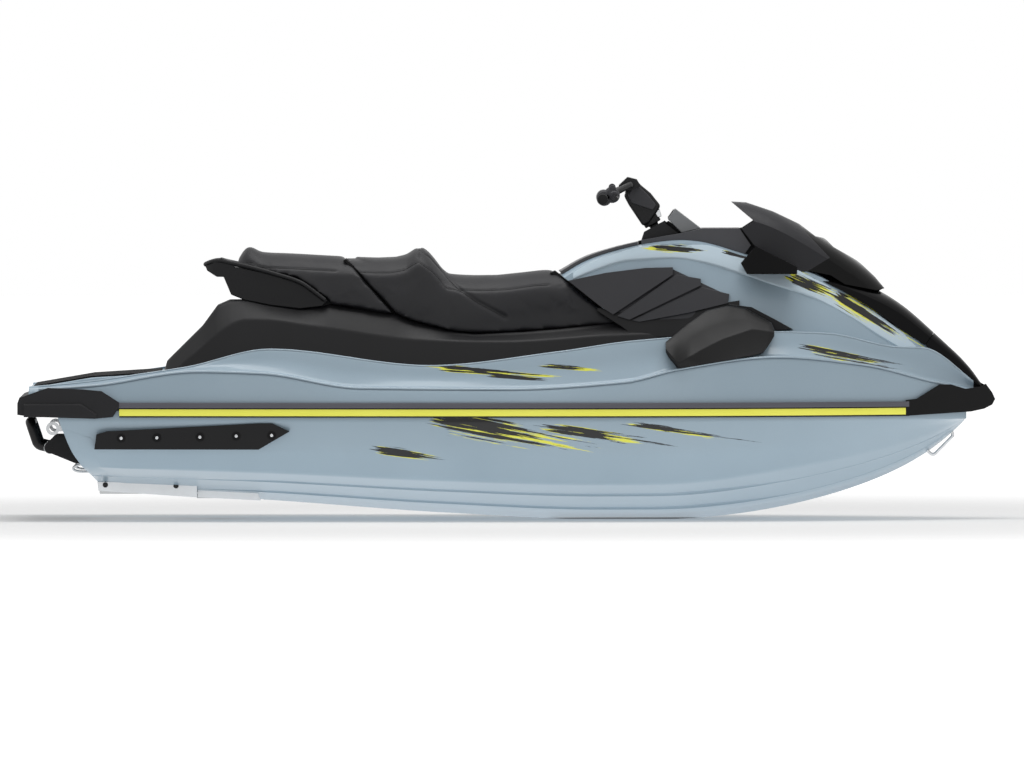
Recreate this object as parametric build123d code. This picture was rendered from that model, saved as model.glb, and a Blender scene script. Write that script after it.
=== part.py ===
from build123d import *
import math
import os

# Personal watercraft with a steered water jet.
# Millimetres. +X is forward, +Y is port, +Z is up.
# The origin is amidships on the centreline, at the waterline.

os.makedirs("parts", exist_ok=True)

# ---------------------------------------------------------------- overall sizes
length = 3350.0
beam = 1225.0
bond_z = 140.0          # joint between the hull and deck mouldings
rail_stand = 14.0       # rub rail proud of the bond flange

half_length = length / 2
flange_beam = beam / 2 - rail_stand

# ---------------------------------------------------------------- clearances
seat_gap = 0.3          # between a seated piece and its seat
panel_gap = 3.0         # between a lid and the panel beside it
lift_gap = 1.0          # under a lid that lifts
run_gap = 0.05          # radial, shaft in bearing

# ---------------------------------------------------------------- hull and deck
flange_low_z = 105.0
flange_high_z = 172.0
beam_station = -0.05    # widest point, as a share of the half length
bow_fullness = 2.6
stern_narrowing = 0.13
strake_lip = 20.0
transom_foot = -0.834
transom_foot_z = -112.0
transom_knee = -0.881
transom_knee_z = -20.0
transom_head = -0.921
deck_stern = -0.975
deck_bow = 0.955
gunwale_wall = 24.0
knuckle_in = 0.965      # width at the gunwale's knuckle, as a share of the flange
footwell_z = 205.0
platform_z = 214.0      # at the stern
platform_rise = 52.0
platform_knee = -0.848
platform_front = -0.70
footwell_front = 0.345
toe_length = 110.0      # of the sloped toe board
pad_thick = 6.0         # foam traction mats
pod_stand = 9.0         # side pods proud of the gunwale
bin_y = 90.0
bin_floor_z = 230.0

# ---------------------------------------------------------------- seat and pedestal
pedestal_foot_y = 272.0
pedestal_slope = 0.29   # sideways lean of the pedestal wall, per unit of height
hatch_y = 150.0         # half width of the hatch under the seat

# ---------------------------------------------------------------- engine and jet
engine_size = (620.0, 380.0, 420.0)
bay_floor_z = -110.0
bay_y = 205.0
bay_z = 350.0
jet_z = -35.0
pump_r = 80.0
pump_wall = 10.0
flange_r = pump_r + pump_wall + 4
pump_length = 90.0
reducer_length = 80.0
reducer_r = 0.65 * pump_r
nozzle_bore_r = pump_r - 6
nozzle_wall = 8.0
nozzle_exit_r = 45.0
nozzle_length = 92.0
nozzle_from_foot = 44.0  # nozzle pivot ahead of the transom foot
bucket_r = pump_r + 20
bucket_wall = 6.0
bucket_y = bucket_r - 1
bucket_up = 78.0         # degrees that the stowed bucket stands above astern
pin_r = 8.0
shaft_r = 12.0
recess_y = 175.0
plate_z = jet_z - flange_r - 1   # upper face of the ride plate
plate_thick = 12.0
grate_y = 95.0

# ---------------------------------------------------------------- steering
steer_foot = (0.302 * half_length, 0.0, 763.6)
steer_lean = 30.0        # degrees that the column leans aft
steer_shaft_r = 16.0
column_r = 30.0
clamp_reach = 165.0      # along the column, cover to handlebar
bar_sweep = 96.0         # of the grips, aft of the clamp
bar_drop = 47.0          # of the grips, below the clamp
bar_r = 11.0
bar_half = 395.0
grip_r = 18.0
grip_length = 125.0

# ---------------------------------------------------------------- boarding step
step_behind = 22.0       # hinge pin aft of the transom's upper edge
step_z = 7.0
step_y = 205.0
step_tube_r = 17.0
step_pin_r = 8.0
step_swing = 58.0        # room ahead of the hinge for the swinging tube

# ---------------------------------------------------------------- towing eyes
eye_bore_r = 12.0
eye_y = 330.0
eye_z = 75.0
eye_reach = 36.0         # from the transom face to the eye's centre

step_x = transom_head * half_length - step_behind
jet_x = transom_foot * half_length + nozzle_from_foot
pump_aft_x = jet_x + 32.0 + reducer_length
pump_face_x = pump_aft_x + pump_length


# ---------------------------------------------------------------- drawing helpers
def fair(*knots):
    """A fair curve through (station, value) knots that never overshoots between them."""
    xs = [k[0] for k in knots]
    ys = [k[1] for k in knots]
    rise = [(ys[i + 1] - ys[i]) / (xs[i + 1] - xs[i]) for i in range(len(xs) - 1)]
    slope = [rise[0]]
    for a, b in zip(rise, rise[1:]):
        slope.append(0.0 if a * b <= 0 else 2 * a * b / (a + b))
    slope.append(rise[-1])

    def value(x):
        x = min(max(x, xs[0]), xs[-1])
        i = max(k for k in range(len(xs) - 1) if xs[k] <= x)
        h = xs[i + 1] - xs[i]
        t = (x - xs[i]) / h
        start = (1 + 2 * t) * (1 - t) ** 2 * ys[i] + t * (1 - t) ** 2 * h * slope[i]
        end = t * t * (3 - 2 * t) * ys[i + 1] + t * t * (t - 1) * h * slope[i + 1]
        return start + end

    return value


def straight(*knots):
    """Straight stretches through (station, value) knots."""
    def value(x):
        i = max([k for k in range(len(knots) - 1) if knots[k][0] <= x], default=0)
        (xa, ya), (xb, yb) = knots[i], knots[i + 1]
        return ya + (yb - ya) * (x - xa) / (xb - xa)

    return value


def side(*points, y0, y1, r=0.0):
    """Prism of a side outline, given as (station, z), from y0 to y1."""
    corners = [(s * half_length, z) for s, z in points]
    return side_mm(corners, y0, y1, r)


def side_mm(corners, y0, y1, r=0.0):
    """Prism of a side outline, given as (x, z), from y0 to y1."""
    if r:
        outline = FilletPolyline(*corners, radius=r, close=True)
    else:
        outline = Polyline(*corners, close=True)
    return extrude(Plane.XZ.offset(-y1) * make_face(outline), amount=y1 - y0)


def plan(corners, z0, z1):
    """Prism of a plan outline from z0 to z1."""
    return extrude(Plane.XY.offset(z0) * make_face(Polyline(*corners, close=True)), amount=z1 - z0)


def front(corners, x0, x1):
    """Prism of a front outline, given as (y, z), from x0 to x1."""
    return extrude(Plane.YZ.offset(x0) * make_face(Polyline(*corners, close=True)), amount=x1 - x0)


def block(x0, x1, y0, y1, z0, z1):
    return Pos((x0 + x1) / 2, (y0 + y1) / 2, (z0 + z1) / 2) * Box(x1 - x0, y1 - y0, z1 - z0)


def rod(start, end, r):
    """Cylinder between two points."""
    line = Vector(*end) - Vector(*start)
    return extrude(Plane(origin=start, z_dir=line) * Circle(r), amount=line.length)


def tube_along(path, r):
    """Round bar along a path."""
    return sweep(Plane(origin=path @ 0, z_dir=path % 0) * Circle(r), path=path)


def spun(corners, x0, z0):
    """Solid of revolution about a fore-and-aft axis, given as (x from x0, radius)."""
    outline = Polyline(*[(x0 + x, z0 + r) for x, r in corners], close=True)
    axis = Axis((x0, 0, z0), (1, 0, 0))
    return revolve(Plane.XZ * make_face(outline), axis=axis)


def flipped(shape):
    return mirror(shape, about=Plane.XZ)


def ribbed(wires, ruled=False):
    return loft([Face(wire) for wire in wires], ruled=ruled)


def angular_rib(x, half):
    """Closed rib of straight stretches from its keel-side half outline (y, z)."""
    points = [(x, y, z) for y, z in half]
    points += [(x, -y, z) for y, z in reversed(half) if y > 0]
    return Wire.make_polygon([Vector(*p) for p in points], close=True)


def crowned_rib(x, foot_y, foot_z, side_y, side_z, top_z):
    """Closed rib with a flat foot, straight sides and one crowned top."""
    crown = Spline(
        (x, side_y, side_z),
        (x, 0.6 * side_y, side_z + 0.86 * (top_z - side_z)),
        (x, 0, top_z),
        (x, -0.6 * side_y, side_z + 0.86 * (top_z - side_z)),
        (x, -side_y, side_z),
    )
    sides = Polyline((x, -side_y, side_z), (x, -foot_y, foot_z), (x, foot_y, foot_z), (x, side_y, side_z))
    return Wire([*crown.edges(), *sides.edges()])


# ---------------------------------------------------------------- lines of the craft
def flange_half(s):
    """Half width of the bond flange at a station."""
    if s > beam_station:
        return flange_beam * (1 - ((s - beam_station) / (1 - beam_station)) ** bow_fullness)
    return flange_beam * (1 - stern_narrowing * ((beam_station - s) / (1 + beam_station)) ** 2)


keel_aft = fair((-1.0, -135), (-0.52, -171), (-0.13, -217), (0.19, -240), (0.30, -240))


def keel_z(s):
    if s <= 0.3:
        return keel_aft(s)
    rise = (s - 0.3) / 0.638
    return -240 + 342 * (0.77 * rise ** 2 + 0.23 * rise ** 8)


chine_share = fair((-1.0, 0.36), (0.3, 0.37), (0.6, 0.45), (0.94, 0.55))
knuckle_share = fair((-1.0, 0.60), (0.0, 0.69), (0.6, 0.70), (0.94, 0.80))
chine_beam = fair((-1.0, 0.80), (0.0, 0.80), (0.5, 0.70), (0.94, 0.50))
knuckle_beam = fair((-1.0, 0.93), (0.3, 0.92), (0.94, 0.72))
strake_fade = fair((-0.6, 0.0), (-0.45, 1.0), (0.4, 1.0), (0.6, 0.0))

gunwale_top = fair(
    (-1.0, 216), (-0.848, 240), (-0.75, 264), (-0.652, 289), (-0.484, 350), (-0.158, 294), (0.108, 342),
    (0.26, 378), (0.545, 407), (0.654, 401), (0.80, 353), (0.85, 350), (0.965, 222),
)
gunwale_knuckle = fair(
    (-1.0, 206), (-0.85, 222), (-0.63, 272), (-0.50, 266), (-0.30, 216), (0.0, 212),
    (0.24, 236), (0.35, 279), (0.55, 320), (0.73, 291), (0.873, 231), (0.965, 198),
)


def gunwale_y(s):
    """Half width of the deck at its upper edge."""
    return flange_half(s) * (0.84 - 0.2 * max(0.0, s) ** 2)


def hull_rib(s):
    keel = keel_z(s)
    depth = flange_low_z - keel
    wide = flange_half(s)
    chine = (chine_beam(s) * wide, keel + chine_share(s) * depth)
    knuckle = (knuckle_beam(s) * wide, keel + knuckle_share(s) * depth)
    lip = 4 + strake_lip * strake_fade(s)
    half = [(0, keel)]
    for share in (0.27, 0.65):
        inner = share * chine[0]
        outer = inner + lip
        climb = (chine[1] - keel) / chine[0]
        half += [(inner, keel + inner * climb), (outer, keel + inner * climb), (outer, keel + outer * climb)]
    half += [chine, knuckle, (wide, flange_low_z), (wide, bond_z)]
    return angular_rib(s * half_length, half)


def deck_rib(s):
    wide = flange_half(s)
    half = [
        (wide, bond_z), (wide, flange_high_z), (knuckle_in * wide, gunwale_knuckle(s)),
        (gunwale_y(s), gunwale_top(s)),
    ]
    return angular_rib(s * half_length, half)


def plan_body(offset, s0, s1, z0, z1, steps=14):
    """Prism of the flange outline, grown by offset, between two stations."""
    stations = [s0 + (s1 - s0) * i / steps for i in range(steps + 1)]
    port = [(s * half_length, flange_half(s) + offset) for s in stations]
    curve = Spline(*port)
    other = Spline(*[(x, -y) for x, y in port])
    ends = Line(curve @ 0, other @ 0) + Line(curve @ 1, other @ 1)
    outline = make_face([*curve.edges(), *other.edges(), *ends.edges()])
    return extrude(Plane.XY.offset(z0) * outline, amount=z1 - z0)


def flange_band(inner, outer, s0, s1, z0, z1):
    """Band that follows the flange on both sides."""
    return plan_body(outer, s0, s1, z0, z1) - plan_body(inner, s0 - 0.01, s1 + 0.01, z0 - 1, z1 + 1)


# ---------------------------------------------------------------- hull
transom_line = fair((transom_foot_z, transom_foot), (transom_knee_z, transom_knee), (bond_z, transom_head))


def lean_x(z):
    """Transom face at a height."""
    return half_length * transom_line(z)


def make_hull():
    stations = (
        -0.99, -0.85, -0.7, -0.55, -0.45, -0.3, -0.1, 0.1, 0.3, 0.4, 0.5, 0.6, 0.68, 0.75, 0.81, 0.86, 0.90,
        0.94)
    body = ribbed([hull_rib(s) for s in stations], ruled=True)
    foot_x = transom_foot * half_length
    low, high = -400.0, bond_z + 60
    heights = (low, transom_foot_z, 0.5 * (transom_foot_z + transom_knee_z), transom_knee_z, 60, bond_z, high)
    corners = [(lean_x(z), z) for z in heights] + [(-half_length - 100, high), (-half_length - 100, low)]
    body -= side_mm(corners, -beam, beam)
    body -= block(-half_length, pump_face_x, -recess_y, recess_y, low, high)
    body -= jet_duct()
    body -= block(foot_x - 60, plate_front_x, -recess_y, recess_y, low, plate_z)
    body -= block(plate_front_x, grate_front_x, -grate_y, grate_y, low, grate_z)
    body -= block(bay_aft_x, bay_front_x, -bay_y, bay_y, bay_floor_z, high)
    body -= rod((pump_face_x, 0, jet_z), (bay_aft_x + 1, 0, jet_z), shaft_r + run_gap)
    return body


plate_front_x = pump_face_x + 87.0
grate_front_x = plate_front_x + 203.0
grate_z = -156.0
bay_aft_x = grate_front_x + 160.0
bay_front_x = bay_aft_x + engine_size[0] + 240.0
engine_aft_x = bay_aft_x + 110.0


def jet_duct():
    """Ramp that leads water from the hull bottom up to the pump."""
    corners = [
        (pump_face_x, jet_z + pump_r), (pump_face_x + 60, jet_z + pump_r), (grate_front_x - 15, -190),
        (plate_front_x + 15, -190), (pump_face_x + 60, jet_z - pump_r), (pump_face_x, jet_z - pump_r),
    ]
    ramp = side_mm(corners, -pump_r + 8, pump_r - 8, 12)
    return ramp + rod((pump_face_x - 1, 0, jet_z), (pump_face_x + 40, 0, jet_z), pump_r)


# ---------------------------------------------------------------- deck
def footwell_walls():
    """Half width of the footwells' outer wall at the platform, amidships and at the toe board."""
    mid = gunwale_y(-0.3) - gunwale_wall
    return mid - 20, mid, gunwale_y(footwell_front) - gunwale_wall


def make_deck():
    stations = (
        deck_stern, -0.88, -0.80, -0.72, -0.65, -0.58, -0.52, -0.46, -0.38, -0.30, -0.22, -0.14, -0.05, 0.04,
        0.13, 0.22, 0.31, 0.40, 0.48, 0.55, 0.62, 0.68, 0.74, 0.79, 0.84, 0.88, 0.92, deck_bow)
    body = ribbed([deck_rib(s) for s in stations], ruled=True)
    aft_y, mid_y, front_y = footwell_walls()
    aft_x = platform_front * half_length
    front_x = footwell_front * half_length
    well = plan(
        [(aft_x, aft_y), (0, mid_y), (front_x, front_y), (front_x, -front_y), (0, -mid_y), (aft_x, -aft_y)],
        footwell_z, 500)
    toe = side_mm(
        [(front_x - toe_length, footwell_z - 1), (front_x + 1, 320), (front_x + 1, footwell_z - 1)],
        -beam, beam)
    body -= well - toe
    body -= platform_outline(0) - platform_step(0, -120)
    body += platform_outline(0) & platform_step(0, bond_z + 1 - platform_z)
    body -= block(bay_aft_x, bay_front_x, -bay_y, bay_y, bond_z - 1, footwell_z + 1)
    return body - bow_bin()


def platform_step(up, low):
    """Side profile of the raised platform, from one height above its face to another."""
    aft_z = platform_z
    knee_z = platform_z + 0.7 * platform_rise
    front_z = platform_z + platform_rise
    return side(
        (deck_stern, aft_z + low), (deck_stern, aft_z + up), (platform_knee, knee_z + up),
        (platform_front, front_z + up), (platform_front, aft_z + low), y0=-beam / 2, y1=beam / 2)


def platform_outline(inset):
    """Plan of the platform, drawn in by an inset."""
    x0, x1 = deck_stern * half_length + inset, platform_front * half_length - inset
    y0, y1 = gunwale_y(deck_stern) - gunwale_wall - inset, footwell_walls()[0] - inset
    return plan([(x0, y0), (x1, y1), (x1, -y1), (x0, -y0)], 100, 400)


def bow_bin():
    """Storage well under the hood."""
    return block(0.645 * half_length, 0.785 * half_length, -bin_y, bin_y, bin_floor_z, 900)


def make_mats():
    """Traction mats in the port footwell and on the platform."""
    edge = 14.0
    aft_x, front_x = platform_front * half_length, footwell_front * half_length
    aft_y, mid_y, front_y = footwell_walls()
    inner = pedestal_foot_y + edge
    toe_x = front_x - toe_length - edge
    port = plan(
        [(aft_x + edge, inner), (toe_x, inner), (toe_x, front_y - edge), (0, mid_y - edge),
         (aft_x + edge, aft_y - edge)], footwell_z, footwell_z + pad_thick)
    band = platform_step(pad_thick, -80) - platform_step(0, -90)
    rear = band & platform_outline(edge)
    return port, rear


# ---------------------------------------------------------------- rails and bumpers
def make_rub_rails():
    s0, s1 = -0.79, 0.82
    core = flange_band(-6, rail_stand - 5, s0, s1, flange_low_z + 13, flange_high_z - 6)
    upper = flange_band(-6, rail_stand, s0, s1, bond_z + 9, flange_high_z - 6)
    lower = flange_band(-6, rail_stand - 2, s0, s1, flange_low_z + 15, bond_z + 6)
    return core + upper + lower


stern_outline = (
    (-0.998, 125), (-0.998, 164), (-0.994, 183), (-0.936, 217), (-0.864, 212), (-0.826, 206), (-0.786, 163),
    (-0.803, 118), (-0.84, 112), (-0.969, 118),
)
bow_outline = (
    (0.815, 171), (0.837, 175), (0.884, 223), (0.9085, 223), (0.9385, 207), (0.971, 214), (0.981, 223),
    (0.994, 193), (1.0, 171), (0.994, 152), (0.977, 138), (0.9495, 129), (0.815, 117),
)


def make_stern_bumper():
    wrap = plan_body(rail_stand, -0.998, -0.78, 100, 230) - plan_body(-34, -0.965, -0.70, 99, 231)
    return side(*stern_outline, y0=-beam, y1=beam) & wrap


def make_bow_bumper():
    wrap = plan_body(rail_stand, 0.80, 1.0, 100, 230) - plan_body(-26, 0.75, 0.93, 99, 231)
    return side(*bow_outline, y0=-beam, y1=beam) & wrap


def make_sponson():
    """Side fin that grips the water in a turn."""
    outline = ((-0.841, 7), (-0.837, 58), (-0.816, 69), (-0.505, 97), (-0.478, 97), (-0.443, 69), (-0.506, 7))
    band = flange_band(-150, 3, -0.86, -0.42, -10, flange_low_z - 4)
    return side(*outline, y0=200, y1=beam) & band


# ---------------------------------------------------------------- pedestal
pedestal_top = (
    (-0.593, 494), (-0.568, 512), (-0.538, 512), (-0.4835, 494), (-0.4236, 482), (-0.378, 491), (-0.36, 499),
    (-0.227, 464), (-0.191, 439), (-0.111, 404), (-0.065, 397), (0.029, 404), (0.108, 414), (0.23, 435),
    (0.33, 435),
)


def make_pedestal(deck):
    """Leaning walls under the seats, open inside for the engine bay and its hatch."""
    prism = side(
        (platform_front, footwell_z), (platform_front, 276), (-0.695, 305), (-0.624, 423), *pedestal_top,
        (0.33, footwell_z), y0=-beam / 2, y1=beam / 2)
    high = 400.0
    foot = pedestal_foot_y
    head = foot - pedestal_slope * high
    walls = front(
        [(foot, footwell_z), (head, footwell_z + high), (-head, footwell_z + high), (-foot, footwell_z)],
        -half_length, half_length)
    body = (prism & walls) - deck
    body -= block(bay_aft_x, bay_front_x, -bay_y, bay_y, footwell_z - 1, bay_z)
    body -= block(hatch_aft_x, hatch_front_x, -hatch_y, hatch_y, bay_z - 1, 600)
    return body


hatch_aft_x = -0.33 * half_length
hatch_front_x = 0.12 * half_length

# ---------------------------------------------------------------- seats
seat_crown = fair(
    (-0.553, 645), (-0.53, 692), (-0.50, 670), (-0.46, 668), (-0.332, 657), (-0.245, 652), (-0.205, 664),
    (-0.179, 691), (-0.162, 674), (-0.119, 597), (-0.06, 592), (-0.017, 593), (0.072, 610), (0.10, 611),
    (0.24, 611),
)
seat_half = fair((-0.553, 96), (-0.45, 165), (-0.3, 176), (-0.18, 186), (-0.06, 182), (0.1, 160), (0.24, 150))
seam = ((-0.332, 657), (-0.227, 464))       # line between the rear seat and the front seat
cowl_line = ((0.09, 614), (0.23, 435))      # line between the front seat and the cowl
seam_gap = 8.0
cowl_gap = 5.0
rear_base = (
    (-0.553, 628), (-0.4306, 592), (-0.366, 515), (-0.36, 499 + seat_gap), (-0.227, 464 + seat_gap))


def seat_body(stations, base):
    """Cushion whose underside follows a line of straight stretches."""
    floor = straight(*base)
    ribs = []
    for s in stations:
        foot, top, wide = floor(s), seat_crown(s), seat_half(s)
        edge = top - min(62, 0.7 * (top - foot))
        ribs.append(crowned_rib(s * half_length, wide + 10, foot, wide, edge, top))
    return ribbed(ribs, ruled=True)


def cut_along(line, back, far):
    """All that lies past a leaning line, drawn aft by a distance, out to a far station."""
    (s0, z0), (s1, z1) = line
    lean = (s1 - s0) / (z0 - z1)
    past = 80.0
    shift = past * lean
    drawn = back / half_length
    return side(
        (s0 - drawn - shift, z0 + past), (s1 - drawn + shift, z1 - past), (far, 300), (far, 800),
        y0=-300, y1=300)


def make_rear_seat():
    between = (-0.545, -0.535, -0.525, -0.515, -0.505, -0.48, -0.455, -0.40, -0.332, -0.30, -0.26)
    body = seat_body(sorted({*between, *[s for s, z in rear_base]}), rear_base)
    return body - cut_along(seam, seam_gap, 0.1)


def make_front_seat():
    base = [(s, z + seat_gap) for s, z in pedestal_top if s > -0.37]
    between = (
        -0.332, -0.30, -0.265, -0.205, -0.179, -0.170, -0.160, -0.148, -0.135, -0.122, -0.09, -0.02, 0.07,
        0.15)
    body = seat_body(sorted({*between, *[s for s, z in base if -0.34 < s < 0.25]}), base)
    return body - cut_along(seam, 0, -0.5) - cut_along(cowl_line, cowl_gap, 0.5)


def make_grab_handle():
    outline = (
        (-0.619, 633), (-0.5855, 656), (-0.558, 641), (-0.558, 625), (-0.4306, 588), (-0.367, 511),
        (-0.378, 491 + seat_gap), (-0.4236, 482 + seat_gap), (-0.4835, 494 + seat_gap),
        (-0.538, 512 + seat_gap), (-0.5645, 530), (-0.58, 591), (-0.594, 591), (-0.614, 612),
    )
    x = half_length
    shape = plan([(-0.619 * x, 70), (-0.60 * x, 105), (-0.54 * x, 150), (-0.36 * x, 176), (-0.36 * x, -176),
                  (-0.54 * x, -150), (-0.60 * x, -105), (-0.619 * x, -70)], 400, 700)
    body = side(*outline, y0=-200, y1=200) & shape
    return body - block(-0.604 * x, -0.576 * x, -72, 72, 560, 700)


# ---------------------------------------------------------------- front cowl
cowl_side_y = fair(
    (0.09, 120), (0.313, 165), (0.483, 185), (0.60, 178), (0.70, 140), (0.80, 92), (0.885, 52), (0.93, 34))
cowl_foot_y = fair(
    (0.09, 170), (0.313, 235), (0.45, 290), (0.58, 300), (0.66, 272), (0.764, 198), (0.85, 126), (0.93, 58))
cowl_foot_z = fair((0.09, 400), (0.35, 330), (0.60, 320), (0.85, 240), (0.93, 170))
cowl_side_z = fair(
    (0.09, 560), (0.19, 655), (0.313, 703), (0.395, 703), (0.483, 665), (0.617, 608), (0.75, 480),
    (0.855, 358), (0.93, 265),
)
cowl_crown = fair((0.09, 28), (0.27, 6), (0.36, 14), (0.93, 8))


def cowl_loft(grow=0.0):
    """Upper body ahead of the seat, with its sides and top grown by an amount."""
    ribs = []
    for s in (0.07, 0.14, 0.20, 0.30, 0.40, 0.483, 0.56, 0.64, 0.72, 0.80, 0.86, 0.93):
        high = cowl_side_z(s) + grow
        foot, wide = cowl_foot_y(s) + grow, cowl_side_y(s) + grow
        ribs.append(crowned_rib(s * half_length, foot, cowl_foot_z(s), wide, high, high + cowl_crown(s)))
    return ribbed(ribs)


def ahead_of_seat():
    """All that lies forward of the front seat and above the pedestal."""
    ledge = 435 + seat_gap
    end = 0.33 + seat_gap / half_length
    return side(
        (0.098, 614), (0.2325, ledge), (end, ledge), (end, 150), (0.915, 150), (0.915, 900), (0.098, 900),
        y0=-beam, y1=beam)


def make_cowl(loft, deck):
    body = (loft & ahead_of_seat()) - deck
    body -= side((0.19, 520), (0.118, 614), (0.118, 900), (0.255, 900), (0.255, 520), y0=-78, y1=78)
    body -= bow_bin()
    return body - rod(along_column(-90), along_column(60), steer_shaft_r + 5)


def make_side_vent(loft):
    """Three stacked blades on a backing panel, port side."""
    blades = (
        (20, ((0.112, 574), (0.203, 606), (0.284, 623), (0.339, 625), (0.339, 600), (0.217, 463))),
        (16, ((0.345, 600), (0.396, 586), (0.396, 563), (0.25, 445), (0.225, 458))),
        (12, ((0.398, 557), (0.454, 534), (0.452, 503), (0.369, 469), (0.271, 438), (0.255, 443))),
    )
    backing = ((0.125, 572), (0.203, 600), (0.339, 618), (0.45, 530), (0.448, 505), (0.369, 450), (0.24, 440))
    body = (cowl_loft(4) & side(*backing, y0=60, y1=400)) - loft
    for stand, outline in blades:
        body += (cowl_loft(stand) & side(*outline, y0=60, y1=400)) - loft
    return body & ahead_of_seat()


def make_footwell_pod():
    """Closed side pod that drapes over the gunwale at the front end of the port footwell."""
    outline = (
        (0.323, 356), (0.369, 435), (0.406, 478), (0.4505, 495), (0.488, 486), (0.542, 435), (0.545, 412),
        (0.539, 373), (0.5215, 333), (0.457, 310), (0.349, 279), (0.325, 333),
    )
    inner_y = pedestal_foot_y - 42
    ribs = []
    for s in (0.31, 0.43, 0.56):
        low_y, high_y = knuckle_in * flange_half(s) + pod_stand, gunwale_y(s) - 40
        corners = [(inner_y, 260), (low_y, 260), (low_y - 8, 330), (high_y, 510), (inner_y, 510)]
        ribs.append(Wire.make_polygon([Vector(s * half_length, y, z) for y, z in corners], close=True))
    return ribbed(ribs, ruled=True) & side(*outline, y0=inner_y - 30, y1=beam)


# ---------------------------------------------------------------- dash, gauges, lids
def make_console():
    outline = (
        (0.275, 690), (0.275, 717), (0.354, 740), (0.40, 758), (0.4756, 758), (0.499, 700), (0.48, 655),
        (0.40, 690))
    x = half_length
    shape = plan([(0.275 * x, 95), (0.40 * x, 140), (0.50 * x, 158), (0.50 * x, -158), (0.40 * x, -140),
                  (0.275 * x, -95)], 600, 800)
    return side(*outline, y0=-200, y1=200) & shape


def make_steering_cover():
    outline = ((0.276, 690), (0.276, 721), (0.2807, 744), (0.323, 783), (0.353, 741), (0.353, 690))
    return side(*outline, y0=-52, y1=52)


def make_gauge_pod():
    outline = ((0.3575, 742), (0.3287, 789), (0.344, 825), (0.398, 756))
    return side(*outline, y0=-78, y1=78)


def make_glovebox_lid():
    outline = ((0.143, 560), (0.104, 614), (0.104, 760), (0.268, 760), (0.268, 560))
    return (cowl_loft(12) & side(*outline, y0=-94, y1=94)) - cowl_loft(lift_gap)


def make_windscreen():
    outline = (
        (0.459, 848), (0.490, 845), (0.545, 814), (0.599, 771), (0.632, 729), (0.651, 722), (0.669, 692),
        (0.72, 643), (0.753, 591), (0.773, 551), (0.7565, 545), (0.691, 566), (0.662, 597), (0.618, 612),
        (0.5925, 606),
        (0.505, 701), (0.480, 756), (0.505, 783),
    )
    crown = fair((0.45, 850), (0.50, 846), (0.60, 772), (0.66, 710), (0.72, 643), (0.78, 545))
    wide = fair((0.45, 160), (0.545, 184), (0.63, 172), (0.69, 150), (0.78, 84))

    def shell(inset):
        ribs = []
        for s in (0.45, 0.50, 0.56, 0.62, 0.68, 0.73, 0.78):
            y = wide(s) - inset
            top = crown(s) - inset
            ribs.append(crowned_rib(s * half_length, y + 8, 400, y, top - 62, top))
        return ribbed(ribs)

    body = shell(0) & side(*outline, y0=-250, y1=250)
    return body - (shell(14) & side((0.44, 400), (0.44, 900), (0.64, 900), (0.64, 400), y0=-250, y1=250))


def make_mirror(screen):
    outline = ((0.4775, 640), (0.5085, 698), (0.5925, 627), (0.5925, 603), (0.49, 603))
    shell = side(*outline, y0=205, y1=330)
    arm = side((0.52, 612), (0.52, 668), (0.58, 632), (0.58, 612), y0=150, y1=206)
    return shell + (arm - screen)


hood_lower = ((0.617, 600), (0.69, 540), (0.75, 479), (0.80, 418))
hood_split = ((0.8736, 399), (0.855, 357))


def strip_loft():
    """Crowned strip down the middle of the bow."""
    arch = fair((0.59, 46), (0.80, 34), (0.90, 24), (0.995, 8))
    high = fair(
        (0.60, 640), (0.70, 590), (0.7565, 547), (0.782, 524), (0.819, 481), (0.873, 401), (0.928, 315),
        (0.972, 229), (1.0, 182))
    wide = fair((0.60, 190), (0.70, 152), (0.80, 102), (0.885, 62), (0.94, 42), (0.995, 14))
    ribs = []
    for s in (0.59, 0.64, 0.70, 0.757, 0.80, 0.84, 0.88, 0.92, 0.96, 0.995):
        ribs.append(crowned_rib(s * half_length, wide(s), 120, wide(s), high(s) - arch(s), high(s)))
    return ribbed(ribs)


def make_hood_panel(strip):
    outline = (
        (0.60, 600), (0.60, 604), (0.62, 609), (0.662, 594), (0.691, 563), (0.7565, 542.5), (0.79, 600),
        (0.90, 500), *hood_split, *reversed(hood_lower),
    )
    return (strip & side(*outline, y0=-250, y1=250)) - cowl_loft(2 * lift_gap)


def make_nose_panel(strip):
    gap = panel_gap / half_length
    outline = (
        (hood_split[0][0] + gap, hood_split[0][1] + 60), (hood_split[0][0] + gap, hood_split[0][1]),
        (hood_split[1][0] + gap, hood_split[1][1]), (0.91, 291), (0.965, 219), (0.985, 200), (1.0, 180),
        (1.0, 460),
    )
    return strip & side(*outline, y0=-250, y1=250)


# ---------------------------------------------------------------- water jet
def make_ride_plate():
    """Plate under the pump that carries the stern at speed."""
    y = recess_y - seat_gap
    edge = plate_z - plate_thick
    corners = [(-y, plate_z), (y, plate_z), (y, edge), (60, edge - 12), (-60, edge - 12), (-y, edge)]
    return front(corners, transom_foot * half_length, plate_front_x - seat_gap)


def make_intake_grate():
    """Frame with fore-and-aft bars across the water intake."""
    x0, x1 = plate_front_x + seat_gap, grate_front_x - seat_gap
    y = grate_y - seat_gap
    body = block(x0, x1, -y, y, grate_z - 12, grate_z)
    pitch = 34.0
    slot = pitch - 9.0
    for i in range(-2, 2):
        mid = (i + 0.5) * pitch
        body -= block(x0 + 22, x1 - 22, mid - slot / 2, mid + slot / 2, grate_z - 20, grate_z + 8)
    return body


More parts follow.
